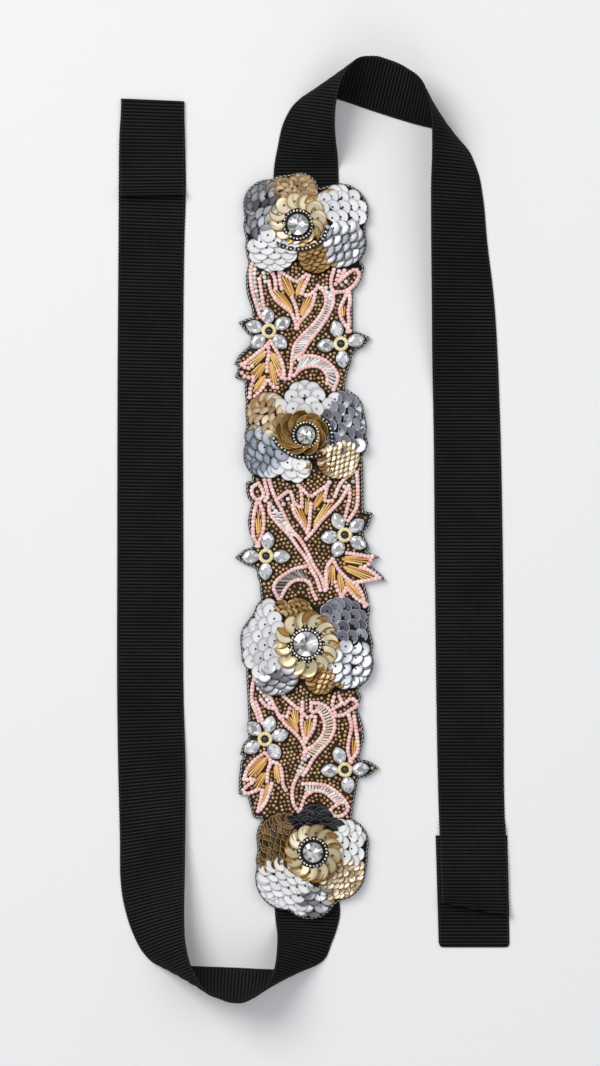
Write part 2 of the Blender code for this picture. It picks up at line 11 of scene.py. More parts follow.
import bmesh
import bpy
import numpy as np
from mathutils import Matrix, Vector
from mathutils.geometry import tessellate_polygon
from mathutils.kdtree import KDTree


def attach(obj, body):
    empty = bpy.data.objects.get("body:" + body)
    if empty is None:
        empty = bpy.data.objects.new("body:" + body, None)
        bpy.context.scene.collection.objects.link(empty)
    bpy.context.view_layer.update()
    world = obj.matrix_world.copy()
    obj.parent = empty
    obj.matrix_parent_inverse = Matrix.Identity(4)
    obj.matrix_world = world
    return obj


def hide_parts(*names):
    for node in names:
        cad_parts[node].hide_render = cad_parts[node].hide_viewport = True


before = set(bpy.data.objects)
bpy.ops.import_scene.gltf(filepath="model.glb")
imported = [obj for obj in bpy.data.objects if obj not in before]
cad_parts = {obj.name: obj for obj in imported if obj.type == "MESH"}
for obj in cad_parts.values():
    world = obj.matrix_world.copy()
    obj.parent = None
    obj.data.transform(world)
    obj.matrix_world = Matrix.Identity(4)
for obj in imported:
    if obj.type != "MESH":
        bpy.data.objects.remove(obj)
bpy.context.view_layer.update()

# %% [markdown]
# ## One set of units
# A maker measures in millimetres from one place on the table, and so does this script. Everything is worked
# out in the millimetres of the layout and turned into metres in one function, just before a mesh is made.
# The other way is to scale objects afterwards, but a finished piece must sit at the origin, unscaled.

# %% Millimetres to metres
MM = 0.001
LAYOUT_MIDDLE = (-0.506, -0.414)


def metres(points):
    """Layout millimetres as metres in the frame."""
    points = np.array(points, float).reshape(-1, 3)
    return (points - (*LAYOUT_MIDDLE, 0)) * MM


def layout(points):
    """Metres in the frame as layout millimetres."""
    return np.array(points, float) / MM + (*LAYOUT_MIDDLE, 0)[:np.shape(points)[-1]]


def add_object(name, data):
    """An object in the scene round a mesh, a light or a camera."""
    made = bpy.data.objects.new(name, data)
    bpy.context.scene.collection.objects.link(made)
    return made


def mesh_object(name, points, faces=(), edges=(), material=None):
    """An object from points in layout millimetres, with its place in its mesh."""
    mesh = bpy.data.meshes.new(name)
    mesh.from_pydata(metres(points).tolist(), [*map(tuple, edges)], [*map(tuple, faces)])
    if material:
        mesh.materials.append(material)
    return add_object(name, mesh)


def set_values(piece, name, values):
    """Gives each point of a piece a number or a vector under a name."""
    values = np.array(values, float)
    kind, key = ("FLOAT", "value") if values.ndim == 1 else ("FLOAT_VECTOR", "vector")
    piece.data.attributes.new(name, kind, "POINT").data.foreach_set(key, values.ravel())


def set_uv(piece, uv):
    """Gives a piece a UV map from one pair of numbers for each point."""
    layer = piece.data.uv_layers.new(name="cloth")
    corners = np.empty(len(piece.data.loops), int)
    piece.data.loops.foreach_get("vertex_index", corners)
    layer.data.foreach_set("uv", np.array(uv, float)[corners].ravel())


print("layout middle", LAYOUT_MIDDLE)

# %% [markdown]
# ## Camera and light
# The belt was laid on a pale table and seen from straight above. A long lens 3 m up keeps the ribbon's
# raised turns nearly as wide as the flat ones. The light is soft and comes from the upper left, so the
# shadows fall to the right and below. Big area lights do this. A sun would give hard edges, and a sky alone
# no direction. Blender's usual view, AgX, turns white paper grey, so the view is set to Standard.

# %% Camera and floor
CAMERA_HEIGHT = 3.0
CAMERA_PLACE = (-8.06, -2.59)
VIEW_HEIGHT = 0.614
SENSOR = 36.0


def make_camera():
    data = bpy.data.cameras.new("camera")
    data.sensor_width = SENSOR
    data.lens = SENSOR * CAMERA_HEIGHT / VIEW_HEIGHT
    data.clip_end = 50
    camera = add_object("camera", data)
    camera.location = (*metres((*CAMERA_PLACE, 0))[0][:2], CAMERA_HEIGHT)
    bpy.context.scene.camera = camera
    return camera


def make_light(name, place, size, power, colour):
    """A soft round light that points at the middle of the table."""
    data = bpy.data.lights.new(name, "AREA")
    data.shape, data.size, data.energy, data.color = "DISK", size, power, colour
    light = add_object(name, data)
    light.location = place
    x, y, z = place
    light.rotation_euler = (math.atan2(math.hypot(x, y), z), 0, math.atan2(x, -y))


camera = make_camera()
bpy.context.scene.view_settings.view_transform = "Standard"
make_light("key", (-1.5, 1.3, 2.3), 1.9, 59, (1.0, 0.995, 0.985))
make_light("fill", (1.8, 0.6, 2.6), 2.4, 22, (0.96, 0.98, 1.0))
make_light("low", (0.2, -2.2, 2.0), 1.6, 8, (1.0, 0.99, 0.98))
print("lens", round(camera.data.lens, 1), "mm")

# %% [markdown]
# ## Shader maths as plain expressions
# A material is a small program. Writing it as nodes by hand is long, so a class wraps the output of a node
# and overloads the arithmetic: `1 - mask` adds a Math node. One method adds every other node. The same two
# classes also write the Geometry Nodes trees, because both kinds of tree have the same Math node.

# %% Node kit
class Socket:
    """The output of a node. Arithmetic on it adds Math nodes."""

    def __init__(self, graph, link):
        self.graph, self.link = graph, link

    def __add__(self, other):
        return self.graph.math("ADD", self, other)

    def __sub__(self, other):
        return self.graph.math("SUBTRACT", self, other)

    def __rsub__(self, other):
        return self.graph.math("SUBTRACT", other, self)

    def __mul__(self, other):
        return self.graph.math("MULTIPLY", self, other)

    def __truediv__(self, other):
        return self.graph.math("DIVIDE", self, other)

    def __pow__(self, other):
        return self.graph.math("POWER", self, other)

    __radd__, __rmul__ = __add__, __mul__


class Graph:
    """A tree of nodes with one way to add a node."""

    def __init__(self, tree):
        self.tree = tree
        tree.nodes.clear()

    def node(self, kind, settings=None, inputs=None, output=0):
        """Adds a node: its settings first, then values or links for its sockets. Returns one output."""
        node = self.tree.nodes.new(kind)
        for key, value in (settings or {}).items():
            setattr(node, key, value)
        for key, value in (inputs or {}).items():
            if isinstance(value, Socket):
                self.tree.links.new(value.link, node.inputs[key])
            else:
                node.inputs[key].default_value = value
        return Socket(self, node.outputs[output]) if len(node.outputs) else node

    def math(self, operation, first, second=0.0):
        return self.node("ShaderNodeMath", {"operation": operation}, {0: first, 1: second})

    def mix(self, share, first, second):
        """One colour, or another as the share rises to 1."""
        settings = {"data_type": "RGBA", "clamp_factor": True}
        return self.node("ShaderNodeMix", settings, {"Factor": share, 6: first, 7: second}, 2)

    def value(self, name):
        """A number that the piece's mesh carries under a name."""
        return self.node("ShaderNodeAttribute", {"attribute_name": name}, {}, "Fac")

    def ramp(self, value, low, high):
        """0 where a value is at low, 1 where it is at high, and even in between."""
        return self.node("ShaderNodeMapRange", {}, {"Value": value, "From Min": low, "From Max": high})

    def noise(self, scale, detail=2.0, vector=None):
        """Noise in object space, scale times to the metre."""
        vector = vector or self.node("ShaderNodeTexCoord", {}, {}, "Object")
        inputs = {"Vector": vector, "Scale": scale, "Detail": detail}
        return self.node("ShaderNodeTexNoise", {}, inputs, "Fac")

    def bump(self, height, distance, strength=1.0):
        inputs = {"Height": height, "Distance": distance, "Strength": strength}
        return self.node("ShaderNodeBump", {}, inputs)


def finish(name, inputs, build=None):
    """A material: constants on the shader's sockets, and a function that gives what varies."""
    made = bpy.data.materials.new(name)
    made.use_nodes = True
    graph = Graph(made.node_tree)
    values = dict(inputs)
    if build:
        values.update(build(graph))
    shader = graph.node("ShaderNodeBsdfPrincipled", {}, values)
    graph.node("ShaderNodeOutputMaterial", {}, {"Surface": shader})
    return made


def rgb(red, green, blue):
    """A colour as it looks on a screen, from 0 to 255, turned into the light that Blender works in."""
    return (*[(value / 255 / 12.92) if value < 10 else ((value / 255 + 0.055) / 1.055) ** 2.4
              for value in (red, green, blue)], 1.0)


print("white paper is", [round(value, 2) for value in rgb(240, 240, 240)])

# %% [markdown]
# ## Paper and a pale room
# The table is one pale square, named as the stage so that it is no part of the belt. Sequins and cut stones
# show what is round them more than their own colour. A photograph of a room could be wrapped round the
# scene, but two greys mixed by noise are enough here, and they need no image.

# %% Floor
FLOOR_SIZE = 4.0


def make_floor():
    half = FLOOR_SIZE / MM / 2
    corners = [(-half, -half, 0), (half, -half, 0), (half, half, 0), (-half, half, 0)]
    paper = finish("paper", {"Base Color": rgb(237, 237, 238), "Roughness": 0.9, "Specular IOR Level": 0.2})
    floor = mesh_object("floor", corners, [(0, 1, 2, 3)], material=paper)
    return floor


def make_sky():
    """A pale room that is brighter overhead than at its sides, for the sequins to mirror."""
    world = bpy.data.worlds.new("room")
    world.use_nodes = True
    graph = Graph(world.node_tree)
    direction = graph.node("ShaderNodeTexCoord", {}, {}, "Generated")
    height = graph.node("ShaderNodeSeparateXYZ", {}, {"Vector": direction}, "Z")
    panels = graph.noise(2.6, 1.0, direction)
    panel = graph.node("ShaderNodeMapRange", {"interpolation_type": "SMOOTHSTEP"},
                       {"Value": panels, "From Min": 0.44, "From Max": 0.56})
    wall = graph.mix(panel, (0.20, 0.21, 0.23, 1), (1.25, 1.25, 1.27, 1))
    colour = graph.mix(height * 1.4 - 0.4, (0.55, 0.56, 0.58, 1), wall)
    background = graph.node("ShaderNodeBackground", {}, {"Color": colour, "Strength": 0.6})
    graph.node("ShaderNodeOutputWorld", {}, {"Surface": background})
    bpy.context.scene.world = world


floor = make_floor()
make_sky()
print("floor", FLOOR_SIZE, "m wide")

# %% [markdown]
# ## Finishes of the small pieces
# Beads, sequins and cut stones come in batches, and no two pieces of a batch are quite alike. A material for
# each piece would be long. Instead each piece carries one number between 0 and 1 for its tone, and the
# material goes from a dark to a light colour with it. On a cut stone each facet carries such a number, and
# there the dark and light are painted reflection. A sequin also carries how far each point lies from its
# middle, so that its rim is painted in a colour of its own, a painted highlight on dark sequins and a painted
# shade line on light ones, and its hole is dark.

# %% Finishes of beads, sequins and stones
# Where a sequin's rim is painted and where its hole is dark, as shares of its radius.
PAINTED_RIM_SPREAD, HOLE = (0.88, 0.95), (0.17, 0.13)
HOLE_COLOUR = (52, 50, 50)


def small_finish(name, dark, light, roughness, metallic, coat=0.0, painted_rim=None):
    """A finish that runs from dark to light with a number for the tone, and for a sequin a painted highlight
    or shade on its rim.
    """
    def build(graph):
        colour = graph.mix(graph.value("tint"), rgb(*dark), rgb(*light))
        if painted_rim:
            # Painted highlight and shade: the rim takes its own colour, lighter on dark sequins and darker on
            # light ones.
            spread = graph.value("spread")
            colour = graph.mix(graph.ramp(spread, *PAINTED_RIM_SPREAD), colour, rgb(*painted_rim))
            colour = graph.mix(graph.ramp(spread, *HOLE), colour, rgb(*HOLE_COLOUR))
        return {"Base Color": colour}

    constants = {"Roughness": roughness, "Metallic": metallic, "Coat Weight": coat, "Coat Roughness": 0.1}
    return finish(name, constants, build)


# Dark and light colour, roughness, metallic, coat, and for a sequin the colour painted on its rim as
# highlight or shade.
LOOKS = {
    "pink_bead": ((240, 188, 186), (255, 226, 222), 0.42, 0.0, 0.2),
    "bronze_bead": ((134, 100, 62), (214, 180, 136), 0.28, 0.35, 0.5),
    "silver_bead": ((170, 168, 160), (250, 248, 240), 0.2, 0.8),
    "clear_bead": ((178, 178, 172), (246, 244, 238), 0.12, 0.1, 0.8),
    "clear_bugle": ((176, 172, 166), (255, 255, 253), 0.2, 0.0, 0.8),
    "grey_bugle": ((84, 76, 70), (190, 182, 172), 0.2, 0.1, 0.8),
    "gold_thread": ((208, 146, 72), (255, 222, 148), 0.35, 0.1, 0.3),
    "silver_thread": ((206, 204, 196), (246, 244, 236), 0.4, 0.3, 0.0),
    "black_thread": ((14, 14, 14), (30, 30, 30), 0.6, 0.0),
    "white_sequin": ((224, 224, 226), (244, 244, 244), 0.38, 0.0, 0.15, (182, 183, 188)),
    "silver_sequin": ((164, 166, 174), (226, 228, 234), 0.34, 0.25, 0.2, (112, 114, 124)),
    "grey_sequin": ((112, 112, 118), (206, 207, 211), 0.32, 0.35, 0.2, (92, 94, 104)),
    "blue_grey_sequin": ((136, 144, 156), (196, 202, 212), 0.32, 0.3, 0.2, (84, 90, 102)),
    "dark_sequin": ((96, 98, 110), (158, 160, 172), 0.28, 0.35, 0.3, (200, 200, 208)),
    "black_sequin": ((5, 5, 6), (22, 22, 24), 0.4, 0.1, 0.1, (104, 104, 110)),
    "bronze_sequin": ((156, 113, 58), (226, 188, 130), 0.3, 0.3, 0.2, (96, 60, 24)),
    "dark_bronze_sequin": ((58, 42, 26), (150, 116, 78), 0.26, 0.4, 0.2, (242, 208, 152)),
    "beige_sequin": ((190, 158, 116), (244, 226, 194), 0.32, 0.3, 0.2, (196, 152, 92)),
    "champagne_sequin": ((232, 214, 176), (254, 248, 228), 0.3, 0.3, 0.2, (166, 128, 74)),
    "gold_sequin": ((160, 136, 100), (230, 214, 186), 0.32, 0.25, 0.2, (132, 92, 44)),
    "gilt_sequin": ((184, 168, 124), (240, 230, 200), 0.26, 0.3, 0.4, (168, 124, 56)),
    "deep_gold_sequin": ((168, 122, 58), (222, 178, 104), 0.28, 0.35, 0.3, (130, 90, 36)),
    "amber_sequin": ((118, 84, 34), (196, 158, 96), 0.22, 0.5, 0.3, (216, 180, 112)),
    "beige_bead": ((196, 176, 148), (240, 228, 206), 0.2, 0.0, 0.7),
    # For the crystal and the pointed stones, dark and light are painted reflections on their facets.
    "crystal": ((92, 92, 96), (255, 255, 255), 0.06, 0.55, 0.8),
    "marquise": ((150, 150, 156), (250, 250, 253), 0.1, 0.25, 0.8),
    "cream_bead": ((226, 204, 146), (250, 238, 198), 0.35, 0.0, 0.4),
    "black_bead": ((6, 6, 7), (14, 14, 16), 0.1, 0.0, 0.8),
}
FINISHES = {name: small_finish(name, *look) for name, look in LOOKS.items()}
print(len(FINISHES), "finishes")

# %% [markdown]
# ## Geometry Nodes for what repeats
# There are thousands of beads, and nobody places them one by one. Three small trees do it. The first threads
# a bead along lines, as a needle does. The second puts a piece on each point of a cloud, turned and sized by
# what the point carries. The third twists two strands into a thread. Each ends in Realize Instances and Set
# Material, and the result is kept as a plain mesh.

# %% Geometry Nodes kit
def new_tree(name, sockets):
    """An empty tree with named inputs, as (name, socket type) pairs."""
    tree = bpy.data.node_groups.new(name, "GeometryNodeTree")
    tree.interface.new_socket("Geometry", in_out="INPUT", socket_type="NodeSocketGeometry")
    for label, kind in sockets:
        tree.interface.new_socket(label, in_out="INPUT", socket_type=kind)
    tree.interface.new_socket("Geometry", in_out="OUTPUT", socket_type="NodeSocketGeometry")
    graph = Graph(tree)
    entry = tree.nodes.new("NodeGroupInput")
    return graph, {socket.name: Socket(graph, socket) for socket in entry.outputs if socket.name}


def random_value(graph, low, high, seed):
    inputs = {2: low, 3: high, "Seed": seed}
    return graph.node("FunctionNodeRandomValue", {"data_type": "FLOAT"}, inputs, 1)


def named(graph, name, kind="FLOAT"):
    return graph.node("GeometryNodeInputNamedAttribute", {"data_type": kind}, {"Name": name})


def even_curve(graph, lines, length):
    """The lines of a mesh as curves, with points that far apart."""
    curve = graph.node("GeometryNodeMeshToCurve", {}, {"Mesh": lines})
    return graph.node("GeometryNodeResampleCurve", {"mode": "LENGTH"}, {"Curve": curve, "Length": length})


def close_tree(graph, instances, material):
    real = graph.node("GeometryNodeRealizeInstances", {}, {"Geometry": instances})
    painted = graph.node("GeometryNodeSetMaterial", {}, {"Geometry": real, "Material": material})
    graph.node("NodeGroupOutput", {}, {"Geometry": painted})
    return graph.tree


def string_tree():
    """Beads threaded along the lines of a mesh."""
    graph, given = new_tree("string_of_beads", [
        ("Bead", "NodeSocketObject"), ("Pitch", "NodeSocketFloat"), ("Unevenness", "NodeSocketFloat"),
        ("Seed", "NodeSocketInt"), ("Material", "NodeSocketMaterial"),
    ])
    even = even_curve(graph, given["Geometry"], given["Pitch"])
    tangent = graph.node("GeometryNodeInputTangent")
    turn = graph.node("FunctionNodeAlignRotationToVector", {"axis": "X"}, {"Vector": tangent})
    size = random_value(graph, 1.0 - given["Unevenness"], 1.0 + given["Unevenness"], given["Seed"])
    bead = graph.node("GeometryNodeObjectInfo", {}, {"Object": given["Bead"]}, "Geometry")
    inputs = {"Points": even, "Instance": bead, "Rotation": turn, "Scale": size}
    placed = graph.node("GeometryNodeInstanceOnPoints", {}, inputs)
    tint = random_value(graph, 0.0, 1.0, given["Seed"] + 1)
    settings = {"data_type": "FLOAT", "domain": "INSTANCE"}
    inputs = {"Geometry": placed, "Name": "tint", "Value": tint}
    tinted = graph.node("GeometryNodeStoreNamedAttribute", settings, inputs)
    return close_tree(graph, tinted, given["Material"])


def cloud_tree():
    """A piece on each point, turned and sized by what the point carries."""
    graph, given = new_tree("pieces_on_points", [
        ("Piece", "NodeSocketObject"), ("Unevenness", "NodeSocketFloat"), ("Seed", "NodeSocketInt"),
        ("Material", "NodeSocketMaterial"),
    ])
    piece = graph.node("GeometryNodeObjectInfo", {}, {"Object": given["Piece"]}, "Geometry")
    spread = random_value(graph, 1.0 - given["Unevenness"], 1.0 + given["Unevenness"], given["Seed"])
    inputs = {0: named(graph, "size", "FLOAT_VECTOR"), "Scale": spread}
    size = graph.node("ShaderNodeVectorMath", {"operation": "SCALE"}, inputs)
    inputs = {"Points": given["Geometry"], "Instance": piece, "Scale": size,
              "Rotation": named(graph, "turn", "FLOAT_VECTOR")}
    placed = graph.node("GeometryNodeInstanceOnPoints", {}, inputs)
    return close_tree(graph, placed, given["Material"])


def thread_tree():
    """Two strands twisted round each line of a mesh."""
    graph, given = new_tree("twisted_thread", [
        ("Strand", "NodeSocketFloat"), ("Twist", "NodeSocketFloat"), ("Step", "NodeSocketFloat"),
        ("Material", "NodeSocketMaterial"), ("Second material", "NodeSocketMaterial"),
    ])
    even = even_curve(graph, given["Geometry"], given["Step"])
    upright = graph.node("GeometryNodeSetCurveNormal", {"mode": "Z_UP"}, {"Curve": even})
    along = graph.node("GeometryNodeSplineParameter", {}, {}, "Length")
    tangent, normal = graph.node("GeometryNodeInputTangent"), graph.node("GeometryNodeInputNormal")
    aside = graph.node("ShaderNodeVectorMath", {"operation": "CROSS_PRODUCT"}, {0: tangent, 1: normal})
    ring = graph.node("GeometryNodeCurvePrimitiveCircle", {}, {"Resolution": 6, "Radius": given["Strand"]})
    strands = []
    for phase, material in ((0.0, "Material"), (math.pi, "Second material")):
        angle = along / given["Twist"] * (2 * math.pi) + phase
        parts = []
        for axis, wave in ((normal, "COSINE"), (aside, "SINE")):
            inputs = {0: axis, "Scale": graph.math(wave, angle) * given["Strand"]}
            parts.append(graph.node("ShaderNodeVectorMath", {"operation": "SCALE"}, inputs))
        offset = graph.node("ShaderNodeVectorMath", {"operation": "ADD"}, {0: parts[0], 1: parts[1]})
        moved = graph.node("GeometryNodeSetPosition", {}, {"Geometry": upright, "Offset": offset})
        inputs = {"Curve": moved, "Profile Curve": ring, "Fill Caps": True}
        tube = graph.node("GeometryNodeCurveToMesh", {}, inputs)
        inputs = {"Geometry": tube, "Material": given[material]}
        strands.append(graph.node("GeometryNodeSetMaterial", {}, inputs))
    both = graph.tree.nodes.new("GeometryNodeJoinGeometry")
    for strand in strands:
        graph.tree.links.new(strand.link, both.inputs[0])
    real = graph.node("GeometryNodeRealizeInstances", {}, {"Geometry": Socket(graph, both.outputs[0])})
    graph.node("NodeGroupOutput", {}, {"Geometry": real})
    return graph.tree


def grow(name, tree, base, values):
    """Runs a tree on a base mesh and keeps the result as a plain mesh, in place of the base."""
    modifier = base.modifiers.new("grow", "NODES")
    modifier.node_group = tree
    for item in tree.interface.items_tree:
        if item.in_out == "INPUT" and item.name in values:
            modifier[item.identifier] = values[item.name]
    depsgraph = bpy.context.evaluated_depsgraph_get()
    mesh = bpy.data.meshes.new_from_object(base.evaluated_get(depsgraph), depsgraph=depsgraph)
    bpy.data.objects.remove(base, do_unlink=True)
    return add_object(name, mesh)


STRING_TREE, CLOUD_TREE, THREAD_TREE = string_tree(), cloud_tree(), thread_tree()
print("trees", [tree.name for tree in (STRING_TREE, CLOUD_TREE, THREAD_TREE)])

# %% [markdown]
# ## The small pieces themselves
# A seed bead is a short piece of glass tube with its edges melted round. A sequin is a thin cupped disc with
# a hole. A bugle is a longer glass tube. Each is made once, at the origin, and the trees repeat it. With
# thousands of copies, a few dozen faces each are enough.

# %% Bead, sequin and bugle
BEAD_PROFILE = ((-0.5, 0.5), (-0.34, 0.86), (0.0, 1.0), (0.34, 0.86), (0.5, 0.5))
BUGLE_PROFILE = ((-0.5, 0.7), (-0.46, 1.0), (0.46, 1.0), (0.5, 0.7))
SEQUIN_PROFILE = ((0.11, 0.0), (0.17, 0.0), (0.6, 0.004), (0.9, 0.035), (1.0, 0.08))
SEQUIN_THICK = 0.028


def bands(rings, count, closed=False):
    """Quads between rings of points, and from the last ring back to the first where the profile is closed."""
    faces = []
    for level in range(rings if closed else rings - 1):
        low, high = level * count, (level + 1) % rings * count
        for i in range(count):
            j = (i + 1) % count
            quad = (low + i, low + j, high + j, high + i)
            faces.append((quad[0], *quad[:0:-1]) if closed else quad)
    return faces


def template(name, points, faces, sharp):
    """A piece at the origin for the trees to repeat, in millimetres."""
    mesh = bpy.data.meshes.new(name)
    mesh.from_pydata([tuple(MM * value for value in point) for point in points], [], faces)
    mesh.shade_smooth()
    mesh.set_sharp_from_angle(angle=math.radians(sharp))
    return add_object(name, mesh)


def tube(name, profile, length, sides):
    """A bead of radius 1 mm along x: a turned profile, closed at both ends."""
    angles = [2 * math.pi * i / sides for i in range(sides)]
    points = [(x * length, r * math.cos(a), r * math.sin(a)) for x, r in profile for a in angles]
    last = (len(profile) - 1) * sides
    caps = [tuple(reversed(range(sides))), tuple(range(last, last + sides))]
    return template(name, points, [tuple(reversed(face)) for face in bands(len(profile), sides) + caps], 60)


def sequin(name, sides):
    """A cupped disc of radius 1 mm with a hole, and a number on it that grows from the hole to the rim."""
    angles = [2 * math.pi * i / sides for i in range(sides)]
    profile = [(r, z + SEQUIN_THICK) for r, z in SEQUIN_PROFILE]
    profile += [(r, z - SEQUIN_THICK) for r, z in (SEQUIN_PROFILE[-1], SEQUIN_PROFILE[0])]
    points = [(r * math.cos(a), r * math.sin(a), z) for r, z in profile for a in angles]
    made = template(name, points, bands(len(profile), sides, closed=True), 50)
    set_values(made, "spread", [r for r, _ in profile for _ in angles])
    return made


BEAD = tube("bead", BEAD_PROFILE, 1.7, 10)
BUGLE = tube("bugle", BUGLE_PROFILE, 1.0, 8)
SEQUIN = sequin("sequin", 20)
print("faces", [len(piece.data.polygons) for piece in (BEAD, BUGLE, SEQUIN)])

# %% [markdown]
# ## Curves and clouds
# A line of beads is drawn by a few points, and a smooth curve runs through them. The trees take their lines
# as a mesh of edges and their clouds as a mesh of loose points, because a mesh can carry named numbers.

# %% Curves and clouds
CURVE_STEP = 0.5
BEAD_UNEVENNESS = 0.05


def run_along(points):
    """How far along its line each point lies, from 0 at the first."""
    return np.concatenate([[0.0], np.cumsum(np.linalg.norm(np.diff(points, axis=0), axis=1))])


def spaced(points, distances):
    """Points at some distances along a line of points."""
    run = run_along(points)
    return np.stack([np.interp(distances, run, column) for column in points.T], axis=1)


def lifted(points, height):
    """Flat points, all set at one height."""
    return np.column_stack([points, np.full(len(points), height)])


def smooth(points):
    """A smooth curve through points, as points about a step apart."""
    points = np.array(points, float)
    if len(points) == 2:
        count = max(2, round(np.linalg.norm(points[1] - points[0]) / CURVE_STEP))
        return points[0] + (points[1] - points[0]) * np.linspace(0, 1, count)[:, None]
    padded = np.concatenate([[2 * points[0] - points[1]], points, [2 * points[-1] - points[-2]]])
    pieces = []
    for a, b, c, d in zip(padded, padded[1:], padded[2:], padded[3:]):
        count = max(1, round(np.linalg.norm(c - b) / CURVE_STEP))
        u = np.arange(count)[:, None] / count
        pieces.append(0.5 * (2 * b + (c - a) * u + (2 * a - 5 * b + 4 * c - d) * u**2
                             + (3 * b - a - 3 * c + d) * u**3))
    return np.concatenate(pieces + [points[-1:]])


def lines_mesh(lines, closed=False):
    """A mesh of edges along lines of points, each joined to its own start where they are closed."""
    edges, start = [], 0
    for line in lines:
        edges += [(start + i, start + i + 1) for i in range(len(line) - 1)]
        if closed:
            edges.append((start + len(line) - 1, start))
        start += len(line)
    return mesh_object("lines", np.concatenate(lines), edges=edges)


def string_beads(name, lines, pitch, finish_name, size, seed, closed=False):
    """Beads along lines of points in layout millimetres."""
    bead = add_object("sized_bead", BEAD.data.copy())
    bead.data.transform(Matrix.Scale(size, 4))
    values = {"Bead": bead, "Pitch": pitch * MM, "Unevenness": BEAD_UNEVENNESS, "Seed": seed,
              "Material": FINISHES[finish_name]}
    piece = grow(name, STRING_TREE, lines_mesh(lines, closed), values)
    bpy.data.objects.remove(bead, do_unlink=True)
    return piece


print("a smooth line has", len(smooth(((0, 0), (5, 5), (10, 0)))), "points")

# %% [markdown]
# ## Tying looks to solids
# Each finished piece is tied to the belt's root body and hides the solids that it stands for. One function
# does both, so that no piece can leave one out.

# %% Riding and replacing
def settle(piece, slot, *nodes):
    """A finished piece rides on the belt and stands for its solids, which are hidden. The slot is not used.
    """
    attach(piece, "root")
    if nodes:
        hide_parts(*nodes)
    triangles = sum(len(face.vertices) - 2 for face in piece.data.polygons)
    print(piece.name, "triangles", triangles, "stands for", len(nodes), "solids")
    return piece


# %% [markdown]
# ## The ribbon's course
# The ribbon is one strip of grosgrain, 38 mm wide and 1.7 m long. A cloth simulation could drop it on the
# table, but it would not fall in just this S. So it is described by straight lines across it, one wherever
# its course changes, because a cloth that bends one way at a time is made of straight lines. In the two
# turns one edge stays on the table and the other rises. The free ends of the hem and of the right tail lift
# a little, so that their edges throw a thin shadow.

# %% Course of the ribbon
Ruling = namedtuple("Ruling", "left_x left_y left_z right_x right_y right_z")
CLOTH_THICK = 0.8
HEM_LIFT = 1.1
HEM_FOLD, HEM_BEND_STEPS = 2.0, 5
HEM_FLAP = (
    Ruling(-74.2, 191.6, 4.2, -111.6, 191.0, 4.6),
    Ruling(-74.3, 195.6, 2.2, -111.7, 195.2, 2.4),
    Ruling(-74.4, 201.0, HEM_LIFT, -111.8, 201.0, HEM_LIFT),
    Ruling(-74.2, 216.0, HEM_LIFT, -112.2, 217.0, HEM_LIFT),
    Ruling(-74.6, 243.2, HEM_LIFT, -111.2, 244.8, HEM_LIFT),
)
LEFT_TAIL = (
    Ruling(-74.6, 243.2, 0, -111.2, 244.8, 0),
    Ruling(-74.1, 222.6, 0, -112.2, 227.2, 0),
    Ruling(-73.6, 196.7, 0, -112.6, 200.7, 0),
    Ruling(-74.5, 165.6, 0, -112.7, 169.1, 0),
    Ruling(-75.1, 118.4, 0, -113.1, 118.4, 0),
    Ruling(-75.1, -18.1, 0, -113.5, -18.1, 0),
)
LOWER_TURN = (
    Ruling(-74.9, -98.8, 0, -113.5, -98.8, 0),
    Ruling(-73.7, -139.0, 1.5, -112.9, -139.1, 0),
    Ruling(-73.9, -179.2, 4, -111.9, -179.4, 0),
    Ruling(-74.1, -201.9, 9, -111.5, -202.5, 0),
    Ruling(-74.3, -221.5, 15, -109.4, -216.9, 0),
    Ruling(-73.3, -238.2, 21, -104.8, -231.8, 0),
    Ruling(-69.4, -252.0, 25, -98.0, -244.6, 0),
    Ruling(-61.6, -264.4, 28, -89.4, -251.2, 0),
    Ruling(-53.7, -268.3, 30, -71.4, -252.0, 0),
    Ruling(-45.7, -270.4, 32, -46.7, -252.9, 0),
    Ruling(-37.2, -268.9, 32, -20.0, -254.0, 0),
    Ruling(-28.6, -262.8, 30, -4.6, -253.4, 0),
    Ruling(-23.4, -253.4, 24, 5.0, -249.0, 0),
    Ruling(-21.3, -239.5, 14, 10.4, -238.2, 0),
    Ruling(-21.3, -232.6, 5, 13.2, -231.0, 0),
    Ruling(-22.2, -226.1, 0, 15.0, -223.8, 0),
)
CENTRE_STRAND = (
    Ruling(-23.3, -211.1, 0, 14.7, -211.1, 0),
    Ruling(-23.6, 195.0, 0, 14.4, 195.0, 0),
)
UPPER_TURN = (
    Ruling(-23.3, 206.0, 0, 14.2, 206.0, 0),
    Ruling(-22.5, 212.3, 0, 13.7, 214.6, 6),
    Ruling(-21.3, 218.0, 0, 12.6, 222.7, 14),
    Ruling(-17.3, 234.1, 0, 12.5, 242.0, 23),
    Ruling(-10.4, 245.1, 0, 16.5, 258.3, 27),
    Ruling(-1.7, 250.3, 0, 24.5, 267.9, 28),
    Ruling(12.7, 247.4, 0, 33.6, 269.7, 27),
    Ruling(33.4, 240.5, 0, 43.4, 267.7, 24),
    Ruling(55.3, 233.6, 0, 53.1, 263.1, 24),
    Ruling(74.4, 228.2, 0, 61.6, 255.4, 27),
    Ruling(87.4, 219.4, 0, 66.6, 240.0, 27),
    Ruling(93.8, 206.8, 0, 67.4, 222.2, 26),
    Ruling(97.4, 189.6, 0, 66.8, 196.3, 23.5),
    Ruling(99.6, 166.2, 0, 66.9, 167.9, 20),
    Ruling(103.7, 131.6, 0, 67.4, 131.0, 13),
    Ruling(106.0, 97.1, 0, 67.8, 96.9, 5),
)
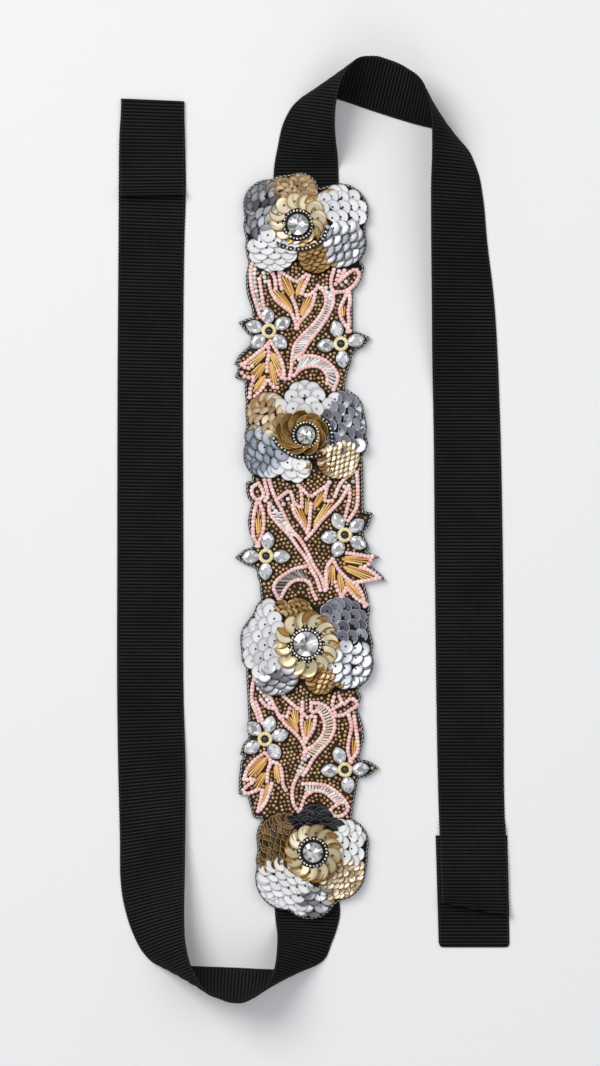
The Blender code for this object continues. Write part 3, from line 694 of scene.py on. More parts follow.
RIGHT_TAIL = (
    Ruling(107.1, 68.3, 0, 68.5, 68.3, 0),
    Ruling(108.9, -18.1, 0, 69.4, -18.1, 0),
    Ruling(109.4, -98.8, 0, 70.3, -98.8, 0),
    Ruling(109.8, -160.0, 0, 71.6, -160.0, 0),
    Ruling(110.0, -166.2, 0, 71.8, -166.2, 0),
    Ruling(110.5, -173.0, HEM_LIFT, 72.0, -172.4, HEM_LIFT),
    Ruling(112.0, -196.6, HEM_LIFT, 72.5, -194.3, HEM_LIFT),
    Ruling(112.3, -211.4, HEM_LIFT, 72.9, -205.2, HEM_LIFT),
    Ruling(112.5, -218.0, 2.1, 73.0, -210.8, 2.8),
    Ruling(112.6, -223.1, 4.0, 73.1, -215.0, 5.6),
)
END_TAB = (
    (111.4, -177.2), (70.0, -176.0), (71.8, -238.4), (72.6, -240.6), (74.6, -241.4),
    (110.0, -241.4), (111.8, -240.8), (112.6, -239.0),
)


def hem_bend():
    """The rows round the fold of the hem, from the flap on top to the tail below it."""
    fold, rows = HEM_FLAP[-1], []
    for i in range(HEM_BEND_STEPS + 1):
        angle = math.pi * i / HEM_BEND_STEPS
        up, lift = HEM_FOLD + HEM_LIFT / 2 * math.sin(angle), HEM_LIFT / 2 * (1 + math.cos(angle))
        rows.append(Ruling(fold.left_x, fold.left_y + up, lift, fold.right_x, fold.right_y + up, lift))
    return tuple(rows)


COURSE = (HEM_FLAP + hem_bend(), LEFT_TAIL, LOWER_TURN, CENTRE_STRAND, UPPER_TURN, RIGHT_TAIL)
print("rows across the ribbon", sum(len(stretch) for stretch in COURSE))

# %% [markdown]
# Between the rows, both edges follow smooth curves. The ribs of the cloth don't lie along the straight lines
# of the turns: they lie square to the edges of the flat cloth. So the grid is laid out in the cloth's own
# measures, across and along, and each point looks up where on the course it falls.

# %% Edges of the ribbon
COURSE_STEP = 0.5


class Course:
    """The two edges of the ribbon and how much cloth has passed at each place."""

    def __init__(self, stretches):
        rows = np.array([row for stretch in stretches for row in stretch], float).reshape(-1, 2, 3)
        middle = rows.mean(axis=1)
        knots = run_along(middle)
        self.place = np.unique(np.concatenate([np.arange(0, knots[-1], COURSE_STEP), knots]))
        self.edges = self.follow(rows, knots)
        self.travel = np.gradient(self.edges, self.place, axis=0)
        run = np.linalg.norm(np.diff(self.edges, axis=0), axis=2)
        run = np.concatenate([np.zeros((1, 2)), np.cumsum(run, axis=0)])
        # Where a stretch starts or ends, the same length of cloth has passed along both edges.
        marks = np.cumsum([0] + [len(stretch) for stretch in stretches])
        marks[-1] -= 1
        at_marks = np.searchsorted(self.place, knots[marks])
        even = run.mean(axis=1)[at_marks]
        self.cloth = [np.interp(run[:, side], run[at_marks, side], even) for side in (0, 1)]
        # The ribs run level into the slanting fold at the right end, so there each edge keeps its own length.
        woven = np.stack([even, even], axis=1)
        woven[-1] = even[-2] + run[at_marks[-1]] - run[at_marks[-2]]
        self.woven = [np.interp(run[:, side], run[at_marks, side], woven[:, side]) for side in (0, 1)]

    def follow(self, rows, knots):
        """Both edges at every place, by smooth curves that never swing past a row's own height."""
        spans = np.diff(knots)[:, None, None]
        chords = np.diff(rows, axis=0) / spans
        before, after = chords[:-1], chords[1:]
        bends = (before * spans[1:] + after * spans[:-1]) / (spans[1:] + spans[:-1])
        same_way = before[..., 2] * after[..., 2] > 0
        total = np.where(same_way, before[..., 2] + after[..., 2], 1.0)
        bends[..., 2] = np.where(same_way, 2 * before[..., 2] * after[..., 2] / total, 0.0)
        slopes = np.concatenate([chords[:1], bends, chords[-1:]])
        i = np.clip(np.searchsorted(knots, self.place, side="right") - 1, 0, len(knots) - 2)
        span = np.diff(knots)[i][:, None, None]
        u = (self.place - knots[i])[:, None, None] / span
        start, end = 2 * u**3 - 3 * u**2 + 1, 3 * u**2 - 2 * u**3
        leave, arrive = (u**3 - 2 * u**2 + u) * span, (u**3 - u**2) * span
        return start * rows[i] + leave * slopes[i] + end * rows[i + 1] + arrive * slopes[i + 1]

    def column(self, across, along):
        """Points, upward directions and places in the weave, at a share across and at lengths along."""
        passed = (1 - across) * self.cloth[0] + across * self.cloth[1]
        place = np.interp(along, passed, self.place)

        def look_up(values):
            return np.stack([np.interp(place, self.place, values[:, axis]) for axis in range(3)], axis=1)

        left, right = look_up(self.edges[:, 0]), look_up(self.edges[:, 1])
        travel = look_up(self.travel[:, 0]) * (1 - across) + look_up(self.travel[:, 1]) * across
        normal = np.cross(right - left, travel)
        weave = [np.interp(place, self.place, self.woven[side]) for side in (0, 1)]
        normal /= np.linalg.norm(normal, axis=1)[:, None]
        return left + (right - left) * across, normal, weave[0] * (1 - across) + weave[1] * across


COURSE_LINE = Course(COURSE)
CLOTH_LENGTH = COURSE_LINE.cloth[0][-1]
print("length of the ribbon", round(CLOTH_LENGTH, 1), "mm")

# %% [markdown]
# ## Grosgrain
# Grosgrain has thick ribs across it, about one every 2 mm, and a firm edge where the weft turns back. The
# ribs are real relief in the mesh, four rows of points to a rib, because they catch the light along the
# whole ribbon. The finer grain of the threads is bump in the material, which follows the cloth by its UV
# map. The material also paints the backs of the ribs and rows of dots along them lighter than the grooves,
# as a painted highlight, and the firm edges a little lighter too.

# %% Grosgrain finish
RIBBON_WIDTH = 38.0
RIB_PITCH, RIB_HEIGHT = 1.95, 0.1
DOT_PITCH = 1.15


def grosgrain_look(graph):
    uv = graph.node("ShaderNodeUVMap", {"uv_map": "cloth"})
    across = graph.node("ShaderNodeSeparateXYZ", {}, {"Vector": uv}, "X")
    along = graph.node("ShaderNodeSeparateXYZ", {}, {"Vector": uv}, "Y")
    wander = graph.noise(70.0, 2.0) - 0.5
    rib = 0.5 - graph.math("COSINE", along * (2 * math.pi * RIBBON_WIDTH / RIB_PITCH)) * 0.5
    threads = across * (RIBBON_WIDTH / DOT_PITCH) + wander * 0.8
    dot = graph.math("COSINE", threads * (2 * math.pi)) * 0.5 + 0.5
    from_edge = 0.5 - graph.math("ABSOLUTE", across - 0.5)
    selvedge = graph.ramp(from_edge, 0.045, 0.03)
    fluff = graph.noise(1500.0, 3.0)
    # Painted highlight: the backs of the ribs and the dots on them are painted lighter than the grooves, and
    # the firm edges a little lighter too.
    lit = rib ** 2 * (dot * 0.9 + 0.2) * (graph.noise(35.0, 2.0) * 1.2 + 0.3) + selvedge * 0.2
    cloth = graph.mix(lit * (fluff * 0.8 + 0.6), rgb(2, 2, 2), rgb(52, 52, 52))
    return {"Base Color": cloth, "Normal": graph.bump(dot * rib + fluff, 0.00012, 0.6)}


GROSGRAIN = finish("grosgrain", {"Roughness": 0.75, "Specular IOR Level": 0.08, "Sheen Weight": 0.01,
                                 "Sheen Roughness": 0.4}, grosgrain_look)
print("ribs on the ribbon", round(CLOTH_LENGTH / RIB_PITCH))

# %% [markdown]
# The ribbon is one closed sheet: rows of points across its front and back, four of them to a rib. A Solidify
# modifier could give a single sheet its thickness, but then each rib on the front would be a groove on the
# back, and the ribs of grosgrain stand out on both sides.

# %% Ribbon mesh
COLUMNS = (0, 0.02, 0.06, 0.16, 0.33, 0.5, 0.67, 0.84, 0.94, 0.98, 1)
SAMPLES_PER_RIB = 4
SELVEDGE_SCALLOP = 0.3


def cloth_wall(name, fronts, backs, uv, material):
    """A closed sheet from rows of points on its front and back."""
    loops = np.concatenate([fronts, backs[:, ::-1]], axis=1)
    rows, count = loops.shape[:2]
    faces = bands(rows, count)
    for base, turned in ((0, False), ((rows - 1) * count, True)):
        last = base + count - 1
        ends = [(base + k, last - k, last - k - 1, base + k + 1) for k in range(fronts.shape[1] - 1)]
        faces += [face[::-1] for face in ends] if turned else ends
    piece = mesh_object(name, loops.reshape(-1, 3), faces, material=material)
    set_uv(piece, np.concatenate([uv, uv[:, ::-1]], axis=1).reshape(-1, 2))
    shape = bmesh.new()
    shape.from_mesh(piece.data)
    if shape.calc_volume(signed=True) < 0:
        bmesh.ops.reverse_faces(shape, faces=shape.faces)
    shape.to_mesh(piece.data)
    shape.free()
    piece.data.shade_smooth()
    return piece


def rib_wave(along):
    """How far a rib stands up, from 0 in the groove to 1 on its back."""
    return 0.5 - 0.5 * np.cos(2 * math.pi * along / RIB_PITCH)


def make_ribbon():
    along = np.arange(0, CLOTH_LENGTH, RIB_PITCH / SAMPLES_PER_RIB)
    middle, _, _ = COURSE_LINE.column(0.5, along)
    fronts, backs, uv = [], [], []
    for share in COLUMNS:
        edge = min(share, 1 - share)
        firm = min(1.0, edge / 0.02)
        points, up, weave = COURSE_LINE.column(share, along)
        ribs = rib_wave(weave)[:, None]
        scallop = SELVEDGE_SCALLOP / RIBBON_WIDTH * (1 - firm) * (1 - ribs)
        points = points + (middle - points) * scallop * 2
        points[:, 2] += CLOTH_THICK / 2
        half = (CLOTH_THICK / 2 - 0.1 * (1 - firm)) * up
        fronts.append(points + half + up * RIB_HEIGHT * (ribs - 0.5))
        backs.append(points - half - up * RIB_HEIGHT * (ribs - 1))
        uv.append(np.stack([np.full(len(along), share), weave / RIBBON_WIDTH], axis=1))
    return cloth_wall("ribbon", np.stack(fronts, 1), np.stack(backs, 1), np.stack(uv, 1), GROSGRAIN)


ribbon = make_ribbon()
stretches = ("left_tail", "lower_turn", "centre", "upper_turn", "right_tail")
settle(ribbon, "grosgrain_black", *[f"ribbon_{stretch}" for stretch in stretches])
lowest = min(vertex.co.z for vertex in ribbon.data.vertices)
print("lowest point of the ribbon", round(lowest * 1000, 3), "mm")

# %% [markdown]
# ## The tab under the right end
# The ribbon's right end is lapped over a separate tab of the same cloth. The tab is a small flat grid with
# the same ribs. Its lower corners are rounded, so each row of the grid is as wide as the tab is there.

# %% End tab
TAB_COLUMNS = np.array([0, 0.02, 0.06, 0.2, 0.4, 0.6, 0.8, 0.94, 0.98, 1])


def make_tab():
    corners = np.array(END_TAB)
    rows = np.arange(corners[:, 1].max() - 0.8, corners[:, 1].min(), -RIB_PITCH / SAMPLES_PER_RIB)
    left_side, right_side = corners[1:5], corners[[5, 6, 7, 0]]
    left = np.interp(rows, left_side[::-1, 1], left_side[::-1, 0])
    right = np.interp(rows, right_side[:, 1], right_side[:, 0])
    x = left[:, None] + (right - left)[:, None] * TAB_COLUMNS
    y = np.repeat(rows[:, None], len(TAB_COLUMNS), axis=1)
    ribs = np.repeat(rib_wave(rows)[:, None], len(TAB_COLUMNS), axis=1)
    fronts = np.stack([x, y, CLOTH_THICK - RIB_HEIGHT * (1 - ribs)], axis=2)
    backs = np.stack([x, y, np.zeros_like(x)], axis=2)
    uv = np.stack([np.broadcast_to(TAB_COLUMNS, x.shape), y / RIBBON_WIDTH], axis=2)
    return cloth_wall("end_tab", fronts, backs, uv, GROSGRAIN)


end_tab = settle(make_tab(), "grosgrain_black", "ribbon_end_tab")

# %% [markdown]
# ## Felt and its edging
# The embroidery was worked on black felt, which was cut out round it and sewn to the ribbon. Its outline
# comes from the solid, so the two can't differ. The points of a solid lie several times at one place, once
# for each face, and are joined first.

# %% Outline of a solid
def welded(node):
    """A solid's shape, with points joined where they lie at one place."""
    shape = bmesh.new()
    shape.from_mesh(bpy.data.objects[node].data)
    bmesh.ops.remove_doubles(shape, verts=shape.verts, dist=1e-6)
    return shape


def outline_of(node):
    """The edge of a flat solid's top, in order, in layout millimetres."""
    shape = welded(node)
    shape.verts.index_update()
    top = max(vertex.co.z for vertex in shape.verts)
    lid = {face for face in shape.faces if all(abs(vertex.co.z - top) < 1e-6 for vertex in face.verts)}
    follow = {}
    for face in lid:
        for corner in face.loops:
            if not any(other in lid for other in corner.edge.link_faces if other is not face):
                follow[corner.vert.index] = corner.link_loop_next.vert.index
    places = [tuple(vertex.co) for vertex in shape.verts]
    shape.free()
    order = [min(follow)]
    while follow[order[-1]] != order[0]:
        order.append(follow[order[-1]])
    return layout([places[i] for i in order])[:, :2]


def inward(points, distance):
    """A closed counter-clockwise curve moved towards its inside."""
    ahead = np.roll(points, -1, axis=0) - np.roll(points, 1, axis=0)
    ahead /= np.linalg.norm(ahead, axis=1)[:, None]
    return points + np.stack([-ahead[:, 1], ahead[:, 0]], axis=1) * distance


def closed_curve(points, step):
    """Points about a step apart round a closed line."""
    loop = np.concatenate([points, points[:1]])
    length = run_along(loop)[-1]
    return spaced(loop, np.linspace(0, length, round(length / step), endpoint=False))


FELT_EDGE = closed_curve(outline_of("panel_backing"), 1.0)
print("felt edge", len(FELT_EDGE), "points")

# %% [markdown]
# The felt is a slab with a softened edge, and its nap is noise in the finish. The top and bottom are cut
# into triangles, because one face with hundreds of corners would be filled across its notches.

# %% Felt
FELT_BOTTOM, FELT_TOP = 1.2, 2.8


def slab(name, edge, rings, material):
    """A flat piece with a shaped side: rings run from the bottom up, as an inset and a height."""
    levels = [lifted(inward(edge, inset), z) for inset, z in rings]
    faces = bands(len(rings), len(edge))
    last = (len(rings) - 1) * len(edge)
    for a, b, c in tessellate_polygon([[Vector((x, y, 0)) for x, y in edge]]):
        (ux, uy), (vx, vy) = edge[b] - edge[a], edge[c] - edge[a]
        if ux * vy < uy * vx:
            b, c = c, b
        faces += [(c, b, a), (last + a, last + b, last + c)]
    return mesh_object(name, np.concatenate(levels), faces, material=material)


def felt_look(graph):
    nap = graph.noise(1400.0, 4.0)
    patches = graph.noise(90.0, 2.0)
    colour = graph.mix(nap * 0.7 + patches * 0.3, rgb(10, 10, 11), rgb(44, 45, 48))
    return {"Base Color": colour, "Normal": graph.bump(nap, 0.0004, 0.9)}


FELT = finish("felt", {"Roughness": 0.95, "Specular IOR Level": 0.15, "Sheen Weight": 0.3}, felt_look)
felt = slab("felt", FELT_EDGE, ((0.15, FELT_BOTTOM), (0, FELT_BOTTOM + 0.4), (0, FELT_TOP - 0.5),
                                (0.3, FELT_TOP)), FELT)
settle(felt, "felt_black", "panel_backing")

# %% [markdown]
# A thread of two strands, a silver and a black one, runs round the felt and shows as a fine dotted line. The
# third tree twists it. A striped finish on a plain cord would be less work, but it would look smooth.

# %% Edge thread
Thread = namedtuple("Thread", "strand twist step first second")
EDGING = Thread(0.24, 2.4, 0.45, "silver_thread", "black_thread")
THREAD_INSET, THREAD_LIFT = 0.8, 0.25
THREAD_SEED = 3


def twisted(name, lines, thread, closed=False):
    """Threads of two strands along lines of points, each line with a tint of its own."""
    values = {"Strand": thread.strand * MM, "Twist": thread.twist * MM, "Step": thread.step * MM,
              "Material": FINISHES[thread.first], "Second material": FINISHES[thread.second]}
    base = lines_mesh(lines, closed)
    rng = np.random.default_rng(THREAD_SEED)
    set_values(base, "tint", np.concatenate([np.full(len(line), rng.random()) for line in lines]))
    return grow(name, THREAD_TREE, base, values)


thread_line = lifted(inward(FELT_EDGE, THREAD_INSET), FELT_TOP + THREAD_LIFT)
settle(twisted("edge_thread", [thread_line], EDGING, closed=True), "felt_black")

# %% [markdown]
# ## The flowers' and stars' places
# Four flowers sit in a row down the panel. Each has a crystal in its middle, a ring of gilt sequins, and
# round petals of other sequins. Six stars of pointed stones lie between them.

# %% Places of the flowers and stars
Rosette = namedtuple("Rosette", "x y crystal_radius flower_radius")
Petal = namedtuple("Petal", "x y radius")
Star = namedtuple("Star", "field x y turns")
ROSETTES = (
    Rosette(-9.2, 174.6, 6.2, 17.0),
    Rosette(-4.6, 53.8, 5.3, 15.5),
    Rosette(-4.6, -66.4, 7.3, 19.5),
    Rosette(-0.6, -186.1, 5.9, 17.0),
)
PETALS = (
    (
        Petal(-8.1, 193.6, 11.5), Petal(14.9, 182.1, 16.7), Petal(14.9, 164.2, 15.6),
        Petal(1.1, 156.7, 11.5), Petal(-23.6, 162.5, 16.1), Petal(-29.3, 174.2, 11.5),
        Petal(-25.9, 186.1, 15.0), Petal(-17.8, 193.2, 10.4),
    ),
    (
        Petal(-5.2, 73.3, 13.2), Petal(-26.5, 66.4, 13.2), Petal(-29.9, 53.2, 10.4),
        Petal(-26.5, 42.3, 14.4), Petal(-10.9, 35.4, 10.4), Petal(13.8, 41.1, 13.8),
        Petal(21.9, 49.2, 9.2), Petal(16.1, 57.8, 14.4), Petal(15.5, 67.0, 13.2),
    ),
    (
        Petal(-9.2, -48.0, 9.8), Petal(16.1, -53.8, 15.6), Petal(21.9, -66.5, 12.1),
        Petal(18.4, -77.4, 16.1), Petal(4.0, -86.6, 10.4), Petal(-21.9, -82.5, 15.0),
        Petal(-32.3, -73.5, 9.8), Petal(-26.5, -64.1, 16.1), Petal(-22.4, -50.9, 12.7),
    ),
    (
        Petal(0.6, -169.4, 12.1), Petal(16.1, -181.5, 15.6), Petal(21.9, -191.0, 9.2),
        Petal(13.2, -197.6, 16.7), Petal(-2.3, -209.1, 16.1), Petal(-15.0, -201.0, 19.0),
        Petal(-23.0, -190.9, 10.7), Petal(-17.8, -178.0, 15.6),
    ),
)
STARS = (
    Star(1, -25.9, 113.6, (95, 29, -45, -136, 164)),
    Star(1, 15.5, 106.2, (106, 12, -84, 186)),
    Star(2, -27.6, -15.8, (84, -2, -92, 183)),
    Star(2, 17.7, -3.7, (116, 38, -31, -116, 188)),
    Star(3, -28.2, -121.1, (73, 15, -53, 212, 136)),
    Star(3, 17.8, -138.7, (112, 3, -79, 183)),
)
STONE_LENGTH, STONE_WIDTH = 10.6, 7.6
STAR_RING, STAR_HEIGHT = 3.25, 5.9
STONE_OFFSET = 8.7
print("stones", sum(len(star.turns) for star in STARS))

# %% [markdown]
# ## The beaded fields
# Between the flowers, lines of pink beads draw leaves, stems and a tulip. They could be drawn by hand as
# Bezier curves, but in a table each can be read and changed. A line is a few points with a smooth curve
# through them, a name by which the bugles find it, and a nudge: the curve is moved by so many millimetres to
# the left of the way that it runs, which keeps rows side by side clear of each other.

# %% Lines of pink beads
Line = namedtuple("Line", "name points nudge", defaults=(0,))
LINES = (
    (
        Line("band_outer", ((-35, 156.5), (-37, 149.5), (-37, 142), (-35.5, 134), (-31.5, 121.5)), 0.8),
        Line("band_inner", ((-31.5, 143.5), (-30.5, 137.5), (-29.5, 131), (-28.5, 126))),
        Line("slant", ((-33, 154.5), (-29, 150.5), (-24.5, 147.5), (-22.5, 143.5), (-22, 138.5))),
        Line("slant_end", ((-22, 138), (-18.5, 138))),
        Line("tulip_left", ((-26.5, 142), (-25, 136), (-21, 130), (-14.5, 125), (-11.5, 119.5),
            (-10, 115)), 0.5),
        Line("left_tip", ((-20, 147.5), (-19.5, 141.5), (-18.5, 138.5))),
        Line("top_dip", ((-19, 147.5), (-14.5, 144.5), (-10, 142), (-7, 144), (-4.5, 146))),
        Line("right_tip", ((-2, 145), (-4, 140.5), (-6.5, 135)), -0.8),
        Line("right_dip", ((-6.5, 135), (-3.5, 134), (-0.5, 136), (2.5, 139))),
        Line("tulip_right", ((1, 134.5), (-0.5, 128.5), (-3.5, 123.5), (-7.5, 119), (-10, 115)), -0.4),
        Line("midrib", ((-12, 133), (-10, 128.5), (-9, 124.5), (-8.5, 121)), -0.7),
        Line("stem_left", ((1.5, 139), (5, 135.5), (6, 130.5), (3.5, 124), (-2, 117), (-8, 111), (-12, 105.5),
            (-13.5, 98), (-14, 91.5), (-15, 86.5)), 0.9),
        Line("stem_right", ((11.5, 136), (12, 130), (9, 122.5), (3.5, 114), (-2.5, 106.5), (-6, 100.5),
            (-9.5, 98)), -0.9),
        Line("top_pair_left", ((11.5, 149), (10, 144), (10, 138.5), (12, 135.5))),
        Line("top_pair_middle", ((14.5, 148), (13.5, 144), (12.5, 140.5))),
        Line("top_pair_right", ((17.5, 148.5), (16, 145.5), (15, 143))),
        Line("loop", ((13, 136), (18, 136.5), (23, 140), (26, 145.5), (24, 149), (20.5, 147.5), (17, 144.5),
            (14.5, 142))),
        Line("small_left", ((18.5, 136), (15.5, 130), (14, 125.5), (15.5, 119.5), (20, 113)), 0.8),
        Line("small_right", ((21, 136), (21.5, 130.5), (20.5, 125), (21, 118.5), (20, 113)), -0.8),
        Line("arch_outer", ((-9, 98), (-4.5, 100), (1.5, 99.5), (7.5, 97), (12.5, 92), (14.5, 86.5),
            (12, 79.5)), -0.8),
        Line("arch_inner", ((-11.5, 88), (-7, 92), (-1.5, 93.5), (4, 92.5), (7.5, 88), (7.5, 83.5))),
        Line("cluster_left", ((-25.5, 108.5), (-29.5, 104.5), (-35.5, 99.5), (-41.5, 94.5)), 0.7),
        Line("curl_top", ((-41.5, 94.5), (-38.5, 92), (-35.5, 93.5))),
        Line("curl_low", ((-41.5, 89.5), (-39, 87), (-35, 87))),
        Line("tip_left", ((-35, 85), (-36.5, 80.5), (-37, 75.5))),
        Line("tip_right", ((-27, 85), (-30.5, 79.5), (-34, 76))),
        Line("tip_last", ((-26, 85), (-23.5, 81.5), (-21, 81))),
        Line("cluster_right", ((-24.5, 108.5), (-21, 103), (-18, 97), (-16.5, 91), (-16.5, 86.5)), -0.9),
        Line("cluster_rib", ((-27, 106), (-26.5, 100), (-27.5, 95), (-27.5, 90.5)), 0.5),
        Line("cluster_inner", ((-21, 90.5), (-19, 87), (-16.5, 86))),
    ),
    (
        Line("loop", ((-32, 26), (-35.5, 23.5), (-35.5, 19.5), (-32.5, 16.5), (-29, 19), (-30.5, 23.5),
            (-32, 26))),
        Line("top_left", ((-28.5, 28), (-27.5, 23), (-26.5, 19), (-28, 16))),
        Line("stem_right", ((-25.5, 28), (-24, 22.5), (-21.5, 16.5), (-18, 10), (-13.5, 0.5), (-8, -6),
            (-3.5, -13.5), (0, -21), (4.6, -28.5), (6.6, -35.5)), -0.2),
        Line("stem_left", ((-26, 14.5), (-25.5, 9), (-21, 3), (-14, -4.5), (-9, -11.5), (-4.5, -17.5),
            (-1.5, -24), (1.2, -28.5), (3.6, -35.5)), 0.1),
        Line("small_left", ((-34, 14.5), (-35.5, 8), (-36, 0.5), (-35.5, -5.5), (-32.5, -10.5)), 0.9),
        Line("small_right", ((-30.5, 15), (-28.5, 10), (-28, 3), (-29, -3.5), (-32, -10.5)), -0.9),
        Line("left_dip", ((-20, 17.5), (-17, 20), (-14, 21.5), (-12.5, 18.5), (-11.5, 15), (-8.5, 12.5))),
        Line("tulip_left", ((-13, 13), (-11.5, 8), (-8, 3), (-4.5, -2.5)), 0.6),
        Line("left_tip", ((-7.5, 21.5), (-7, 17), (-7, 12.5))),
        Line("top_dip", ((-9, 25), (-5.5, 21.5), (-2, 18.5), (2, 21), (7, 24.5), (9, 26.5))),
        Line("right_tip", ((8.5, 26.5), (7, 21.5), (6.5, 16), (10.5, 16))),
        Line("tulip_right", ((19, 22.5), (15, 16), (10.5, 11), (4.5, 5), (0, -1), (-4.5, -6))),
        Line("midrib", ((-1, 14), (-1.5, 8), (-2, 2), (-3, -2.5)), -0.8),
        Line("band_inner", ((23, 33), (17, 28), (14, 23.5), (12, 18.5))),
        Line("band_middle", ((20.5, 22.5), (20.5, 17), (19, 11), (17.5, 5))),
        Line("band_outer", ((25.5, 32.5), (26, 25), (26, 17), (25, 11), (20.5, 4)), -0.9),
        Line("arch_outer", ((-5, -21), (-11.5, -22.5), (-17, -25.5), (-22, -29.5), (-24, -34.5),
            (-21, -41)), 0.8),
        Line("arch_inner", ((-20.5, -41), (-17, -34), (-12.5, -29.5), (-7, -28.5), (-2, -30.5), (0, -36),
            (2, -40)), -0.9),
        Line("cluster_left", ((10, -17), (7, -21), (6, -26.5), (6.5, -34.5)), 0.9),
        Line("cluster_right", ((11.5, -17.5), (14.5, -23), (19, -28), (23, -31)), -0.6),
        Line("top_leaf", ((19, -13.5), (25.5, -14.5), (33.5, -16)), -0.6),
        Line("top_leaf_low", ((33.5, -16), (31, -21), (27, -22.5))),
        Line("next_leaf", ((27, -22.5), (32.5, -24.5), (37.5, -28.5))),
        Line("next_leaf_low", ((37.5, -28.5), (30, -30), (23.5, -31))),
        Line("third_leaf", ((25.5, -32.5), (28.5, -37.5), (30, -44.5)), -0.8),
        Line("third_leaf_low", ((19.5, -36), (24, -41), (30, -44.5)), 0.8),
        Line("last_leaf", ((11.5, -31), (13, -36), (16, -40)), 0.7),
        Line("last_leaf_low", ((19, -34.5), (17.5, -38), (16, -40)), -0.6),
    ),
    (
        Line("band_outer", ((-35, -85), (-36.5, -92.5), (-36.5, -99.5), (-34, -106.5), (-32.5, -111)), 0.9),
        Line("slant", ((-33.5, -86.5), (-29, -91.5), (-24.5, -97), (-22, -102.5), (-19, -108.5)), -0.7),
        Line("fork_left", ((-33.5, -100), (-31, -106), (-29.5, -112))),
        Line("fork_right", ((-30.5, -98.5), (-27, -102.5), (-21.5, -104))),
        Line("tulip_left", ((-19.5, -108.5), (-17, -113), (-11.5, -118), (-7.5, -123), (-5.5, -128),
            (-7, -132)), 0.6),
        Line("left_tip", ((-18, -108), (-15.5, -108), (-14, -103.5))),
        Line("top_slant", ((-17.5, -96.5), (-13, -100.5), (-9.5, -103.5))),
        Line("midrib", ((-7.5, -100), (-7.5, -105.5), (-8, -112), (-7, -118), (-5.5, -123)), 0.8),
        Line("top_dip", ((-9, -103.5), (-6, -106.5), (-4.5, -108.5), (-1.5, -108))),
        Line("tulip_right", ((1.5, -108.5), (1, -113.5), (-1.5, -119), (-5, -123)), -0.8),
        Line("stem_outer", ((-1.5, -100), (4, -100.5), (8.5, -103.5), (11.5, -109), (12, -115), (9, -122),
            (4, -127.5), (-0.5, -133), (-3.5, -138.5), (-6, -142)), -0.3),
        Line("stem_inner", ((-1.5, -100.5), (-1.5, -105.5), (2.5, -105), (5, -108.5), (6.2, -113),
            (5.4, -117.6), (2.9, -121.7), (-0.7, -125.3), (-3.3, -126.8), (-5.8, -129))),
        Line("stem_low_left", ((-7, -137.5), (-10, -141.5), (-12.5, -146.5), (-13.5, -152.5), (-12.5, -159),
            (-9.5, -163.5)), 0.9),
        Line("stem_low_right", ((-4.5, -152.5), (-6.5, -157.5), (-7.5, -161.5))),
        Line("arch_outer", ((-6.5, -146.5), (0, -146.5), (7, -147.5), (13, -151), (17.5, -155.5),
            (20, -160)), -0.4),
        Line("arch_inner", ((-4.5, -152.5), (-0.5, -150), (5.5, -150.5), (10.5, -154), (14, -157.5)), -0.9),
        Line("curl", ((14, -157.5), (9, -161), (10, -165), (14.5, -166.5), (19.5, -163.5), (20, -160)), 0.8),
        Line("bud_left", ((11.5, -97), (10.5, -101.5), (12, -106))),
        Line("bud_right", ((14.5, -96.5), (16, -100.5), (13, -102.5))),
        Line("loop", ((12.5, -108.5), (17, -108), (21.5, -105), (25.5, -102), (24, -98), (20, -97.5),
            (17, -100.5)), 0.8),
        Line("small_left", ((20, -107.5), (21.5, -114), (20, -122), (19.5, -128.5), (21.5, -134.5))),
        Line("small_right", ((24, -108), (25, -115), (26, -123), (25.5, -129), (21.5, -134.5)), -0.9),
        Line("cluster_left", ((-29, -128.5), (-34.5, -132.5), (-39, -138), (-41, -144)), 0.8),
        Line("curl_top", ((-38.5, -144.5), (-35, -144), (-35, -145.5), (-40.5, -150), (-38.5, -152.5),
            (-31.5, -150))),
        Line("cluster_rib", ((-27.5, -129.5), (-25, -134), (-26.5, -139.5), (-27, -145.5))),
        Line("cluster_right", ((-23, -133.5), (-19, -135.5), (-17.5, -141), (-17, -147),
            (-15.5, -150)), -0.9),
        Line("tip_left", ((-30.5, -150.5), (-31.5, -156), (-33, -162.5)), 0.8),
        Line("tip_right", ((-23.5, -147), (-25, -152), (-27, -157.5), (-30, -162)), -0.8),
    ),
)
print("lines", [len(lines) for lines in LINES])

# %% [markdown]
# Inside the drawn leaves lie small leaves of gold thread, and beside some lines a row of clear beads. A leaf
# of thread is given by its root, its tip and half its width. The clear beads are few, so each has its own
# place.

